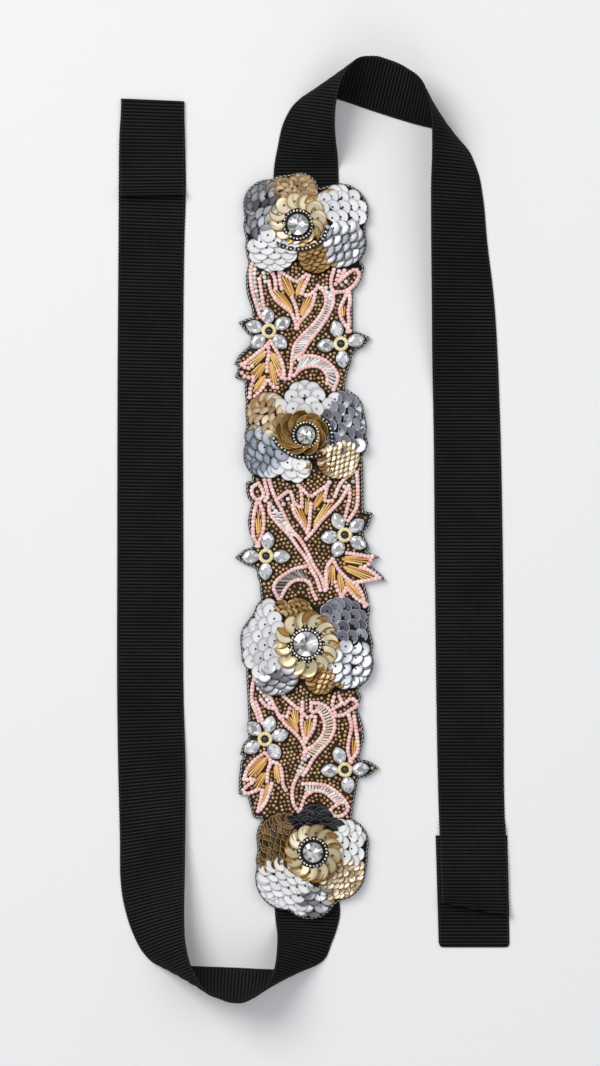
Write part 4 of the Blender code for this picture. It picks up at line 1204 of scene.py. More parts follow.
# %% Leaves of gold thread and clear beads
Lobe = namedtuple("Lobe", "root_x root_y tip_x tip_y half_width")
LOBES = (
    (
        Lobe(-12.5, 124.5, -23, 136, 3.5),
        Lobe(-12, 133, -17.5, 143.5, 3.0),
        Lobe(-10, 134, -6, 142.5, 2.0),
        Lobe(-7.5, 122.5, -2, 132.5, 3.0),
        Lobe(17, 122, 17, 128, 1.0),
        Lobe(-27.5, 102, -37, 95, 3.0),
        Lobe(-28.5, 95, -35, 86.5, 3.0),
        Lobe(-28, 88, -34, 79, 2.0),
        Lobe(-25, 96, -22.5, 83.5, 2.0),
        Lobe(-25, 101.5, -18, 90, 2.5),
    ),
    (
        Lobe(-4.5, 1, -10, 12, 2.5),
        Lobe(-4.5, 8, -3, 17, 1.5),
        Lobe(0, 12, 5, 20, 2.0),
        Lobe(0, 1, 9.5, 13.5, 3.0),
        Lobe(-32, -3.5, -32, 6.5, 1.5),
        Lobe(-31.5, 7, -32, 11.5, 1.0),
        Lobe(16, -17.5, 30, -18.5, 2.5),
        Lobe(17, -22, 33, -28, 3.0),
        Lobe(10.5, -21, 9.5, -31, 2.5),
        Lobe(14.5, -25.5, 16, -36.5, 2.0),
        Lobe(17.5, -29.5, 27.5, -40, 2.0),
    ),
    (
        Lobe(-27.5, -132, -36.5, -141.5, 3.5),
        Lobe(-28, -140.5, -33.5, -148.5, 2.5),
        Lobe(-26, -146.5, -29.5, -157.5, 1.5),
        Lobe(-22, -136, -20.5, -145, 2.0),
        Lobe(-9.5, -117.5, -15, -109.5, 3.0),
        Lobe(-10, -113, -11.5, -104, 2.0),
        Lobe(-4, -119.5, -3, -109.5, 2.5),
        Lobe(22.5, -130, 23, -121.5, 1.0),
    ),
)
CLEAR_BEADS = (
    ((-33.5, 151.5), (-34, 149), (-34.2, 146.5), (-34.2, 144), (-34, 141.5), (-33.7, 139), (-33.2, 136.5),
        (-32.7, 134), (-32, 131.5), (-31.2, 129), (-30.5, 126.5),
        (-29, 147), (-28.5, 144.5), (-28, 142), (4.5, 138.5), (7, 138.5), (7.5, 135.5), (9.5, 134), (16, 140),
        (18.5, 142)),
    ((-25, 14), (-23.5, 12), (-22, 10), (-20.5, 8), (-18.5, 5), (-17, 3), (-15.5, 0.5), (-17.5, 14),
        (-15, 17), (17.5, 24), (20, 24.5), (22.5, 27)),
    ((-32, -92), (-30.3, -94), (-28.6, -96.2), (-27, -98.4), (-25.6, -100.6),
        (-3.3, -131), (-5, -132.8), (-6.8, -134.8), (-8, -137), (-9, -139.5), (-9.8, -142)),
)
print("gold leaves", [len(lobes) for lobes in LOBES])

# %% [markdown]
# ## Ground and lines
# Under the beads lies a brown ground cloth that shows in the gaps, where the black felt would be too dark.
# It is a thin slab like the felt, cut to the outline of each field's solid, and it stands for that solid.

# %% Ground
GROUND_TOP = 3.3


def ground_look(graph):
    weave = graph.noise(1100.0, 3.0)
    colour = graph.mix(weave, rgb(36, 24, 15), rgb(80, 57, 38))
    return {"Base Color": colour, "Normal": graph.bump(weave, 0.0003, 0.8)}


GROUND = finish("ground_cloth", {"Roughness": 0.8, "Specular IOR Level": 0.2}, ground_look)
GROUND_RINGS = ((0, FELT_TOP - 0.1), (0, GROUND_TOP - 0.2), (0.25, GROUND_TOP))
FIELD_EDGES = [closed_curve(outline_of(f"beadwork_{number}"), 1.0) for number in (1, 2, 3)]
for number, edge in enumerate(FIELD_EDGES, 1):
    ground = slab(f"ground_{number}", edge, GROUND_RINGS, GROUND)
    settle(ground, "beads_rose_bronze", f"beadwork_{number}")

# %% [markdown]
# The pink lines are threaded by the first tree, all lines of a field at once. A field is then one piece,
# where an object for each line would make thirty.

# %% Pink lines
PINK_SIZE, PINK_PITCH = 1.32, 2.0
BEAD_HEIGHT = 4.15


def beside(curve, distance):
    """A curve moved to the left of the way that it runs."""
    ahead = np.gradient(curve, axis=0)
    ahead /= np.linalg.norm(ahead, axis=1)[:, None]
    return curve + np.stack([-ahead[:, 1], ahead[:, 0]], axis=1) * distance


PINK_CURVES = [[beside(smooth(line.points), line.nudge) for line in lines] for lines in LINES]
for number, curves in enumerate(PINK_CURVES, 1):
    lines = [lifted(curve, BEAD_HEIGHT) for curve in curves]
    beads = string_beads(f"pink_beads_{number}", lines, PINK_PITCH, "pink_bead", PINK_SIZE, seed=number)
    settle(beads, "beads_rose_bronze")

# %% [markdown]
# ## Bugles across the stems
# The stems and arches are ladders: a pink line on each side and glass bugles across. Each pair of lines is
# walked at the same share of its length, and a bugle spans each step. The ladders are worked out before the
# bronze beads, so that those leave them free.

# %% Ladders
Ladder = namedtuple("Ladder", "field one one_from one_to other other_from other_to pitch finish")
LADDERS = (
    Ladder(1, "stem_left", 0.03, 0.86, "stem_right", 0.02, 0.98, 1.6, "clear_bugle"),
    Ladder(1, "arch_outer", 0.06, 0.97, "arch_inner", 0.04, 0.98, 2.2, "clear_bugle"),
    Ladder(2, "arch_outer", 0.05, 0.95, "arch_inner", 0.95, 0.05, 2.0, "grey_bugle"),
    Ladder(2, "stem_left", 0.09, 0.36, "stem_right", 0.29, 0.51, 1.8, "clear_bugle"),
    Ladder(3, "arch_outer", 0.05, 0.92, "arch_inner", 0.05, 0.95, 2.0, "clear_bugle"),
    Ladder(3, "stem_outer", 0.1, 0.77, "stem_inner", 0.17, 0.97, 1.8, "beige_bead"),
)


def walk(field, name, start, end, count):
    """Points along a named line, between two shares of its length."""
    curve = next(curve for line, curve in zip(LINES[field - 1], PINK_CURVES[field - 1]) if line.name == name)
    return spaced(curve, np.linspace(start, end, count) * run_along(curve)[-1])


def ladder_sides(ladder):
    """Points on both sides of a ladder, one pair for each bugle."""
    one = (ladder.field, ladder.one, ladder.one_from, ladder.one_to)
    other = (ladder.field, ladder.other, ladder.other_from, ladder.other_to)
    count = max(3, round(run_along(walk(*one, 60))[-1] / ladder.pitch))
    return walk(*one, count), walk(*other, count)


print("ladders", len(LADDERS))

# %% [markdown]
# ## Filling the gaps with bronze beads
# Each gap was filled by hand, bead after bead, starting along the pink lines. The script does the same. It
# goes through places on a fine grid, the ones nearest a line first, and keeps a place if every bead there is
# already far enough away. A tree that looks up near points quickly keeps this short.

# %% Places for the bronze beads
BRONZE_SIZE, BRONZE_PITCH, BRONZE_JITTER = 0.95, 2.08, 0.12
LINE_ROOM, EDGE_ROOM, LEAF_ROOM = 2.1, 0.9, 0.9
RING_ROOM, STONE_END_ROOM, STONE_SIDE_ROOM = 1.9, 1.2, 1.0
GRID = 0.55


def inside(points, edge):
    """Which points lie inside a closed line."""
    x, y = points[:, 0:1], points[:, 1:2]
    x0, y0 = edge[:, 0], edge[:, 1]
    x1, y1 = np.roll(x0, -1), np.roll(y0, -1)
    rises = (y0 <= y) != (y1 <= y)
    crossing = x0 + (y - y0) * (x1 - x0) / np.where(y1 == y0, 1.0, y1 - y0)
    return (rises & (x < crossing)).sum(axis=1) % 2 == 1


def distance_to(points, others):
    """How far each point is from the nearest of others."""
    tree = KDTree(len(others))
    for i, other in enumerate(others):
        tree.insert((*other[:2], 0), i)
    tree.balance()
    return np.array([tree.find((*point, 0))[2] for point in points])


def lobe_distance(points, lobe, margin):
    """Less than 0 where a point is inside a leaf of gold thread."""
    root, tip = np.array(lobe[:2], float), np.array(lobe[2:4], float)
    axis = tip - root
    length = np.linalg.norm(axis)
    axis /= length
    along = (points - root) @ axis / length
    aside = np.abs((points - root) @ np.array([-axis[1], axis[0]]))
    width = lobe.half_width * np.sin(math.pi * np.clip(along * 0.85 + 0.1, 0, 1)) + margin
    return np.where((along > -0.05) & (along < 1.05), aside - width, 9.0)


def stone_places(star):
    """The middle of each stone of a star, with its turn."""
    for turn in star.turns:
        angle = math.radians(turn)
        yield star.x + STONE_OFFSET * math.cos(angle), star.y + STONE_OFFSET * math.sin(angle), angle


def bare_of_stars(points, number):
    """Which points keep clear of the stones and rings of a field's stars."""
    free = np.ones(len(points), bool)
    for star in STARS:
        if star.field == number:
            free &= np.linalg.norm(points - (star.x, star.y), axis=1) > STAR_RING + RING_ROOM
            for x, y, angle in stone_places(star):
                offset = points - (x, y)
                along = offset @ (math.cos(angle), math.sin(angle)) / (STONE_LENGTH / 2 + STONE_END_ROOM)
                aside = offset @ (-math.sin(angle), math.cos(angle)) / (STONE_WIDTH / 2 + STONE_SIDE_ROOM)
                free &= along**2 + aside**2 > 1
    return free


def bronze_places(number, edge, taken):
    """Places for a field's bronze beads, from the drawn lines outwards."""
    low, high = edge.min(axis=0), edge.max(axis=0)
    x, y = np.meshgrid(np.arange(low[0], high[0], GRID), np.arange(low[1], high[1], GRID))
    points = np.column_stack([x.ravel(), y.ravel()])
    points = points[inside(points, inward(edge, EDGE_ROOM))]
    points = points[bare_of_stars(points, number)]
    for lobe in LOBES[number - 1]:
        points = points[lobe_distance(points, lobe, LEAF_ROOM) > 0]
    for ladder in LADDERS:
        if ladder.field == number:
            one, other = ladder_sides(ladder)
            points = points[~inside(points, np.concatenate([one, other[::-1]]))]
    near = distance_to(points, taken)
    points, near = points[near > LINE_ROOM], near[near > LINE_ROOM]
    order = np.argsort(np.round(near / LINE_ROOM) * LINE_ROOM + points[:, 1] * 0.001)
    kept, cells = [], {}
    for point in points[order]:
        cell = (int(point[0] // BRONZE_PITCH), int(point[1] // BRONZE_PITCH))
        near_cells = [cells.get((cell[0] + i, cell[1] + j), ()) for i in (-1, 0, 1) for j in (-1, 0, 1)]
        if all(math.dist(point, other) >= BRONZE_PITCH for group in near_cells for other in group):
            cells.setdefault(cell, []).append(point)
            kept.append(point)
    jitter = np.random.default_rng(number).uniform(-BRONZE_JITTER, BRONZE_JITTER, (len(kept), 2))
    return np.array(kept) + jitter


print("grid", GRID, "mm")

# %% [markdown]
# ## Pieces on a cloud
# The second tree needs a cloud of points that carry a turn, a size and a tint. Beads that are sewn one by
# one lie a little askew, so their turns are drawn at random. An object for each bead would work too, but
# thousands of objects are slow to handle.

# %% Pieces on points
BEAD_TILT, BEAD_RISE = 0.25, 0.1


def put_pieces(name, template_piece, finish_name, places, turns, sizes, tones_and_glints, unevenness=0.04, seed=1):
    """A piece on each place in layout millimetres, turned by an Euler turn in radians."""
    base = mesh_object("places", places)
    set_values(base, "turn", turns)
    set_values(base, "size", sizes)
    set_values(base, "tint", tones_and_glints)
    values = {"Piece": template_piece, "Unevenness": unevenness, "Seed": seed,
              "Material": FINISHES[finish_name]}
    return grow(name, CLOUD_TREE, base, values)


def scatter_beads(name, places, size, finish_name, seed):
    """Beads at loose places, each turned its own way round."""
    rng = np.random.default_rng(seed)
    count = len(places)
    turns = np.column_stack([rng.normal(0, BEAD_TILT, count), rng.normal(0, BEAD_TILT, count),
                             rng.uniform(0, 6.28, count)])
    heights = BEAD_HEIGHT + rng.uniform(-BEAD_RISE, BEAD_RISE, count)
    return put_pieces(name, BEAD, finish_name, np.column_stack([places, heights]), turns,
                      np.full((count, 3), size), rng.random(count), seed=seed)


# %% [markdown]
# The bronze beads fill what the lines leave free, and the clear beads lie at their own places. Both are
# clouds for the second tree.

# %% Bronze beads
for number, edge in enumerate(FIELD_EDGES, 1):
    clear_places = np.array(CLEAR_BEADS[number - 1], float)
    places = bronze_places(number, edge, np.concatenate([*PINK_CURVES[number - 1], clear_places]))
    beads = scatter_beads(f"bronze_beads_{number}", places, BRONZE_SIZE, "bronze_bead", number)
    settle(beads, "beads_rose_bronze")
    clear = scatter_beads(f"clear_beads_{number}", clear_places, PINK_SIZE, "clear_bead", number + 10)
    settle(clear, "glass_stone")

# %% [markdown]
# A bugle lies across its ladder between two pink lines. It is as long as the gap less the room that the pink
# beads take, and its thickness goes with the pitch of the ladder.

# %% Bugles
BUGLE_MARGIN, SHORTEST_BUGLE = 2.3, 0.8
BUGLE_RADIUS_SHARE, BUGLE_LIFT = 0.35, 0.1

for order, ladder in enumerate(LADDERS, 1):
    one, other = ladder_sides(ladder)
    count, span = len(one), other - one
    length = np.maximum(np.linalg.norm(span, axis=1) - BUGLE_MARGIN, SHORTEST_BUGLE)
    thick = np.full(count, BUGLE_RADIUS_SHARE * ladder.pitch)
    turns = np.column_stack([np.zeros((count, 2)), np.arctan2(span[:, 1], span[:, 0])])
    places = lifted((one + other) / 2, BEAD_HEIGHT + BUGLE_LIFT)
    tones_and_glints = np.random.default_rng(order).random(count)
    piece = put_pieces(f"bugles_{order}", BUGLE, ladder.finish, places, turns,
                       np.column_stack([length, thick, thick]), tones_and_glints)
    settle(piece, "glass_stone")

# %% [markdown]
# ## Gold thread leaves
# The small leaves are filled with gilt thread, laid side by side as straight lines that fan out from the
# root. Each thread is two strands twisted together, which the third tree makes.

# %% Gold leaves
GILT_THREAD = Thread(0.3, 1.8, 0.4, "gold_thread", "gold_thread")
GOLD_PITCH = 1.45
LOBE_SPREAD = 0.6
THREAD_POINTS = 8


def lobe_threads(lobe):
    """Straight threads side by side, fanning out from the root of a leaf. The outer ones are shorter."""
    root, tip = np.array(lobe[:2], float), np.array(lobe[2:4], float)
    axis = tip - root
    aside = np.array([-axis[1], axis[0]]) / np.linalg.norm(axis)
    half_width = lobe.half_width + LOBE_SPREAD
    count = max(2, round(2 * half_width / GOLD_PITCH))
    lines = []
    for k in range(count):
        spread = (k + 0.5) / count * 2 - 1
        share = np.linspace(0.22 * spread**2, 1.12 - 0.42 * abs(spread)**1.5, THREAD_POINTS)
        fan = half_width * spread * (0.45 + 0.55 * share)
        line = root + axis * share[:, None] + aside * fan[:, None]
        height = GROUND_TOP + 0.55 + 0.5 * np.sin(math.pi * np.linspace(0, 1, THREAD_POINTS)) ** 0.5
        lines.append(np.column_stack([line, height]))
    return lines


for number, lobes in enumerate(LOBES, 1):
    lines = [line for lobe in lobes for line in lobe_threads(lobe)]
    settle(twisted(f"gold_threads_{number}", lines, GILT_THREAD), "sequins_gold")

# %% [markdown]
# ## Sequin petals
# Every petal is a patch of overlapping sequins, sewn in rows like scales. A patch is described by its finish,
# an oval, the size of its sequins, how far apart they are along and across, which way their free edges point
# and how steeply they stand. The free edge of each lies over the next, so all lean the same way.

# %% Patches of sequins
Patch = namedtuple("Patch", "finish x y long wide turn size step row open lift wobble")
PATCHES = (
    (
        Patch("grey_sequin", -31.1, 185.0, 18.0, 12.0, 80, 8.8, 3.4, 7.0, 150, 26, 16),
        Patch("beige_sequin", -9.5, 197.5, 17.0, 9.0, 0, 6.0, 2.4, 4.8, 80, 28, 18),
        Patch("white_sequin", 16.2, 184.7, 15.5, 11.5, -55, 8.8, 4.2, 8.0, 45, 13, 4),
        Patch("bronze_sequin", 0.8, 152.8, 10.5, 10.5, 0, 5.4, 2.0, 5.0, -70, 28, 9),
        Patch("silver_sequin", 17.2, 163.1, 14.0, 12.5, 0, 8.8, 3.3, 7.2, -35, 24, 5),
        Patch("white_sequin", -22.9, 158.5, 15.0, 11.5, 0, 8.8, 3.3, 7.6, -90, 16, 4),
    ),
    (
        Patch("beige_sequin", -27.5, 66.6, 13.0, 14.5, 0, 7.6, 3.2, 6.0, 140, 22, 14),
        Patch("dark_sequin", 17.2, 61.5, 18.5, 13.5, 90, 8.0, 4.0, 7.0, 20, 16, 10),
        Patch("white_sequin", -5.4, 76.4, 16.5, 11.5, 0, 8.8, 4.2, 8.2, 90, 14, 4),
        Patch("bronze_sequin", 4.0, 37.5, 9.5, 7.5, 20, 5.4, 2.0, 4.8, -50, 28, 9),
        Patch("champagne_sequin", 15.5, 39.8, 11.5, 9.5, 30, 5.4, 1.6, 5.0, -40, 26, 6),
        Patch("blue_grey_sequin", -30.0, 42.4, 13.0, 13.0, 0, 8.8, 3.6, 7.6, 200, 17, 5),
        Patch("white_sequin", -12.6, 33.2, 12.5, 7.5, 0, 8.8, 4.2, 7.6, -100, 14, 4),
        Patch("white_sequin", 28.1, 46.6, 2.0, 2.0, 0, 8.4, 6.0, 8.0, -30, 16, 2),
    ),
    (
        Patch("bronze_sequin", -9.5, -44.5, 13.0, 8.0, 0, 5.4, 2.0, 4.8, 60, 28, 9),
        Patch("dark_sequin", 17.4, -50.9, 15.5, 15.0, 0, 8.2, 4.6, 7.0, 45, 17, 5),
        Patch("bronze_sequin", 2.0, -89.8, 13.0, 10.0, 0, 5.4, 2.0, 4.8, -60, 28, 9),
        Patch("silver_sequin", 23.8, -80.7, 15.0, 15.0, 0, 8.8, 4.4, 7.6, -50, 17, 5),
        Patch("grey_sequin", -19.9, -88.2, 15.0, 9.5, 0, 8.8, 3.1, 7.4, -75, 19, 5),
        Patch("white_sequin", -31.1, -62.0, 21.0, 13.0, 90, 8.8, 4.4, 8.0, 160, 12, 5),
    ),
    (
        Patch("black_sequin", -0.1, -166.5, 16.0, 9.0, 0, 9.0, 2.2, 8.0, 100, 22, 8),
        Patch("dark_bronze_sequin", -23.1, -178.3, 19.5, 12.0, 90, 6.2, 2.3, 5.4, 210, 30, 8),
        Patch("white_sequin", 21.0, -177.0, 15.0, 9.5, 90, 8.0, 4.2, 7.2, 5, 14, 4),
        Patch("gold_sequin", 18.3, -204.6, 14.0, 15.5, 0, 5.2, 2.3, 4.6, -40, 16, 12),
        Patch("grey_sequin", -0.1, -213.8, 11.0, 10.5, 0, 8.0, 3.6, 7.0, -90, 26, 14),
        Patch("white_sequin", -19.9, -208.3, 15.5, 17.5, 0, 8.8, 3.4, 7.4, -120, 19, 5),
    ),
)
print("patches", [len(patches) for patches in PATCHES])

# %% [markdown]
# The rows of a patch are staggered like bricks. Sequins that the gilt flower would cover are left out, and
# ones that would reach past the felt are drawn in. The last function turns each sequin by the patch's
# angles, with a random wobble.

# %% Where the sequins go
PETAL_BASE, PETAL_CROWN = 4.2, 5.0
FELT_MARGIN = 1.4
FLOWER_COVER = 5.0
PATCH_STEP, LEAN_RISE = 0.15, 0.12
SEWING_ERROR = 0.035
SEQUIN_REACH, LARGEST_SHIFT = 0.85, 1.4
CROWN_START, CROWN_WIDTH = 0.6, 22


def patch_places(number, patch):
    """The middles of a patch's sequins, in rows inside its oval."""
    way = math.radians(patch.open)
    ahead, aside = np.array([math.cos(way), math.sin(way)]), np.array([-math.sin(way), math.cos(way)])
    reach = max(patch.long, patch.wide)
    columns, rows = math.ceil(2 * reach / patch.row), math.ceil(reach / patch.step / 2)
    points = []
    for k in range(-columns, columns + 1):
        steps = (np.arange(-rows, rows + 1) * 2 + k % 2) * patch.step
        points.append(np.outer(steps, ahead) + aside * k * patch.row / 2)
    points = np.concatenate(points)
    turn = math.radians(patch.turn)
    along = points @ (math.cos(turn), math.sin(turn)) / patch.long
    across = points @ (-math.sin(turn), math.cos(turn)) / patch.wide
    points = points[along**2 + across**2 < 1] + (patch.x, patch.y)
    points += np.random.default_rng(len(points)).normal(0, SEWING_ERROR * patch.size, points.shape)
    return keep_on_petals(number, points, patch.size / 2)


def keep_on_petals(number, points, radius):
    """Leaves out what the gilt flower covers, and draws in what would reach past the felt."""
    flower = ROSETTES[number]
    away = np.linalg.norm(points - (flower.x, flower.y), axis=1)
    points = points[away > flower.flower_radius - FLOWER_COVER]
    petals = np.array(PETALS[number])
    offsets = points[:, None, :] - petals[None, :, :2]
    distances = np.linalg.norm(offsets, axis=2)
    depth = petals[None, :, 2] - FELT_MARGIN - distances
    best = depth.argmax(axis=1)
    i = np.arange(len(points))
    lack = np.maximum(0, radius * SEQUIN_REACH - depth[i, best])
    shift = offsets[i, best] / np.maximum(distances[i, best], 1e-6)[:, None] * lack[:, None]
    keep = lack < radius * LARGEST_SHIFT
    return (points - shift)[keep]


def petal_height(number, points):
    """The padding under the sequins rises towards the flower's middle."""
    flower = ROSETTES[number]
    away = np.linalg.norm(points - (flower.x, flower.y), axis=1)
    share = np.clip(1 - (away - flower.flower_radius * CROWN_START) / CROWN_WIDTH, 0, 1)
    return PETAL_BASE + (PETAL_CROWN - PETAL_BASE) * share


def sew_patch(number, order, patch):
    """One patch of sequins: each patch of a flower lies a little higher than the one before it."""
    points = patch_places(number, patch)
    count = len(points)
    rng = np.random.default_rng(100 * number + order)
    wobble = math.radians(patch.wobble)
    turns = np.column_stack([rng.normal(0, wobble * 0.6, count),
                             -math.radians(patch.lift) + rng.normal(0, wobble * 0.6, count),
                             math.radians(patch.open) + rng.normal(0, wobble, count)])
    rise = LEAN_RISE * patch.size / 2 * math.sin(math.radians(patch.lift))
    heights = petal_height(number, points) + PATCH_STEP * order + rise
    name = f"flower_{number + 1}_patch_{order + 1}"
    return put_pieces(name, SEQUIN, patch.finish, np.column_stack([points, heights]), turns,
                      np.full((count, 3), patch.size / 2), rng.random(count), 0.03, order)


print("petals", [len(petals) for petals in PETALS])

# %% [markdown]
# The petals are padded, and dark cloth shows between the sequins. It could be modelled anew, but a copy of
# the solid, set a little lower, already has the right outline.

# %% Padding under the petals
def padding_look(graph):
    nap = graph.noise(1200.0, 3.0)
    return {"Base Color": graph.mix(nap, rgb(12, 11, 11), rgb(48, 42, 38)),
            "Normal": graph.bump(nap, 0.0003, 0.8)}


PADDING = finish("petal_padding", {"Roughness": 0.9, "Specular IOR Level": 0.15}, padding_look)
PADDING_DROP = 0.25


def make_padding(number):
    """A copy of the petals' solid, a little lower, in dark cloth."""
    node = f"rosette_{number}_petals"
    shape = welded(node)
    floor_height = min(vertex.co.z for vertex in shape.verts)
    for vertex in shape.verts:
        vertex.co.z -= PADDING_DROP * MM * (vertex.co.z > floor_height + 1e-5)
    mesh = bpy.data.meshes.new(f"flower_{number}_padding")
    shape.to_mesh(mesh)
    shape.free()
    mesh.materials.clear()
    mesh.materials.append(PADDING)
    return settle(add_object(mesh.name, mesh), "felt_black", node)


for number, patches in enumerate(PATCHES):
    make_padding(number + 1)
    for order, patch in enumerate(patches):
        settle(sew_patch(number, order, patch), "sequins_white_silver")

# %% [markdown]
# ## Gilt flowers
# In the middle of each flower, large gilt sequins stand round the crystal like the blades of a fan: each
# leans over the next one. They are laid out in two rings on an oval, the lower one turned by half a step, so
# the turn of each sequin is just its angle.

# %% Gilt sequins round the crystals
Gilt = namedtuple("Gilt", "finish under size count lean fall rings x y wide tall")
GILTS = (
    Gilt("gilt_sequin", "deep_gold_sequin", 10.0, 11, 15, 7, ((1.3, 6.4), (0, 4.9)), -9.5, 178.3, 18.0, 16.0),
    Gilt("amber_sequin", "amber_sequin", 11.5, 9, 17, -30, ((0, 5.6), (3.0, 6.0)), -7.0, 55.2, 15.6, 13.2),
    Gilt("gilt_sequin", "deep_gold_sequin", 11.4, 12, 15, 7, ((1.1, 6.4), (0, 4.9)), -4.5, -66.6, 20.0, 20.0),
    Gilt("gilt_sequin", "deep_gold_sequin", 10.4, 12, 19, -9, ((1.1, 6.4), (0, 4.9)), -0.6, -186.3,
        17.6, 17.6),
)


def gilt_ring(number, gilt, layer):
    """One ring of sequins, leaning like the blades of a fan: layer 0 lies on top."""
    rng = np.random.default_rng(10 * number + layer)
    inset, height = gilt.rings[layer]
    reach = math.cos(math.radians(gilt.fall)) * gilt.size / 2 + inset
    angles = (np.arange(gilt.count) + 0.5 * layer) * 2 * math.pi / gilt.count + 0.3 * number
    places = np.column_stack([gilt.x + (gilt.wide - reach) * np.cos(angles),
                              gilt.y + (gilt.tall - reach) * np.sin(angles), np.full(gilt.count, height)])
    lean = math.radians(gilt.lean) + rng.normal(0, 0.09, gilt.count)
    fall = math.radians(gilt.fall) + rng.normal(0, 0.07, gilt.count)
    finish_name = gilt.under if layer else gilt.finish
    return put_pieces(f"flower_{number + 1}_gilt_{layer + 1}", SEQUIN, finish_name, places,
                      np.column_stack([lean, fall, angles]), np.full((gilt.count, 3), gilt.size / 2),
                      rng.random(gilt.count), 0.03, number)


for number, gilt in enumerate(GILTS):
    upper, under = gilt_ring(number, gilt, 0), gilt_ring(number, gilt, 1)
    settle(upper, "sequins_gold", f"rosette_{number + 1}_flower")
    settle(under, "sequins_gold")

# %% [markdown]
# ## Crystals
# Each crystal is cut to a point: flat facets run from the rim to the tip, and each mirrors another part of
# the room. Every facet is also painted lighter or darker at random, as painted reflection of the room and of
# the light inside the glass.

# %% Cut crystals
CRYSTAL_SIDES = 16
CRYSTAL_RINGS = ((0.72, 7.7), (1.0, 8.7), (0.97, 9.1), (0.56, 10.4))
CRYSTAL_TIP = 11.0


def facet_mesh(name, points, faces, tones_and_glints, material):
    """A stone with flat facets, each painted lighter or darker as a reflection of its own."""
    stone = mesh_object(name, points, faces, material=material)
    values = stone.data.attributes.new("tint", "FLOAT", "FACE")
    values.data.foreach_set("value", np.array(tones_and_glints, float))
    return stone


def crystal_shape(x, y, radius, rng):
    """A crystal whose top ring is turned by half a side, so that the facets below it are triangles."""
    sides, points = CRYSTAL_SIDES, []
    for level, (share, z) in enumerate(CRYSTAL_RINGS):
        phase = 0.5 * (level == 3)
        for i in range(sides):
            angle = 2 * math.pi * (i + phase) / sides
            points.append((x + radius * share * math.cos(angle), y + radius * share * math.sin(angle), z))
    points.append((x, y, CRYSTAL_TIP))
    girdle, crown, tip = 2 * sides, 3 * sides, 4 * sides
    faces = [tuple(reversed(range(sides))), *bands(3, sides)]
    for i in range(sides):
        j = (i + 1) % sides
        faces += [(girdle + i, girdle + j, crown + i), (girdle + j, crown + j, crown + i)]
    faces += [(crown + i, crown + (i + 1) % sides, tip) for i in range(sides)]
    # Each facet gets a random number, which the finish paints as a lighter or darker reflection.
    return points, faces, rng.random(len(faces)) ** 0.8


def make_crystal(number):
    flower = ROSETTES[number]
    rng = np.random.default_rng(40 + number)
    points, faces, tones_and_glints = crystal_shape(flower.x, flower.y, flower.crystal_radius, rng)
    stone = facet_mesh(f"flower_{number + 1}_crystal", points, faces, tones_and_glints, FINISHES["crystal"])
    return settle(stone, "crystal", f"rosette_{number + 1}_stone")


for number in range(len(ROSETTES)):
    make_crystal(number)

# %% [markdown]
# Round each crystal lies a black padded ring, and silver beads are sewn on it, one ring of them or two. The
# padded ring is a circle of points turned round the flower's middle, with a flat top.

# %% Black rings under the beads
PAD_RINGS = ((5.0, 9.5), (4.6, 8.4), (6.2, 11.0), (5.0, 9.2))
PAD_PROFILE = ((0.0, 6.6), (0.0, 7.4), (0.25, 7.8), (0.75, 7.6), (1.0, 7.0), (1.0, 6.6))
PAD_SIDES = 48


def make_pad(number, inner, outer):
    flower = ROSETTES[number]
    points = []
    for share, z in PAD_PROFILE:
        radius = inner + (outer - inner) * share
        points += [(flower.x + radius * math.cos(angle), flower.y + radius * math.sin(angle), z)
                   for angle in np.arange(PAD_SIDES) * 2 * math.pi / PAD_SIDES]
    faces = bands(len(PAD_PROFILE), PAD_SIDES, closed=True)
    pad = mesh_object(f"flower_{number + 1}_black_ring", points, faces, material=PADDING)
    pad.data.shade_smooth()
    return settle(pad, "felt_black")


for number, (inner, outer) in enumerate(PAD_RINGS):
    make_pad(number, inner, outer)

# %% [markdown]
# The silver beads are threaded on a circle by the first tree. One closed line is enough for each ring.

# %% Rings of silver beads
BeadRing = namedtuple("BeadRing", "flower radius height size pitch")
BEAD_RINGS = (
    BeadRing(1, 8.1, 8.0, 0.72, 1.9),
    BeadRing(2, 7.2, 8.1, 0.72, 1.85),
    BeadRing(3, 8.4, 8.2, 0.82, 1.95),
    BeadRing(3, 10.2, 7.7, 0.6, 2.4),
    BeadRing(4, 7.9, 8.1, 0.76, 2.0),
)


def circle(x, y, radius, height, step=0.4):
    count = round(2 * math.pi * radius / step)
    angles = np.arange(count) * 2 * math.pi / count
    return np.column_stack([x + radius * np.cos(angles), y + radius * np.sin(angles), np.full(count, height)])


for order, ring in enumerate(BEAD_RINGS, 1):
    flower = ROSETTES[ring.flower - 1]
    line = circle(flower.x, flower.y, ring.radius, ring.height)
    beads = string_beads(f"bead_ring_{order}", [line], ring.pitch, "silver_bead", ring.size, order,
                         closed=True)
    settle(beads, "sequins_white_silver")

# %% [markdown]
# Beside the first two gilt flowers run three bows of silver beads on a black cord. The cord is the twisted
# thread again, only thicker, on the same curve a little lower.

# %% Arcs of silver beads beside the gilt flowers
SILVER_ARCS = (
    ((7.7, 172.6), (4.5, 165.5), (-2.8, 161.5), (-12, 160.5), (-21.8, 163.6)),
    ((3.4, 64), (8, 60.5), (10, 55.3), (10.6, 48.1)),
    ((-23.1, 51.7), (-18.8, 46.6), (-10, 41.4), (0.8, 41.4), (5.4, 43)),
)
ARC_CORD = Thread(0.8, 9.0, 1.0, "black_thread", "black_thread")
ARC_HEIGHT, CORD_DROP = 7.7, 1.5
ARC_PITCH, ARC_BEAD_SIZE = 2.2, 0.75
arcs = [lifted(smooth(arc), ARC_HEIGHT) for arc in SILVER_ARCS]
beads = string_beads("silver_arcs", arcs, ARC_PITCH, "silver_bead", ARC_BEAD_SIZE, seed=9)
settle(beads, "sequins_white_silver")
cords = [lifted(smooth(arc), ARC_HEIGHT - CORD_DROP) for arc in SILVER_ARCS]
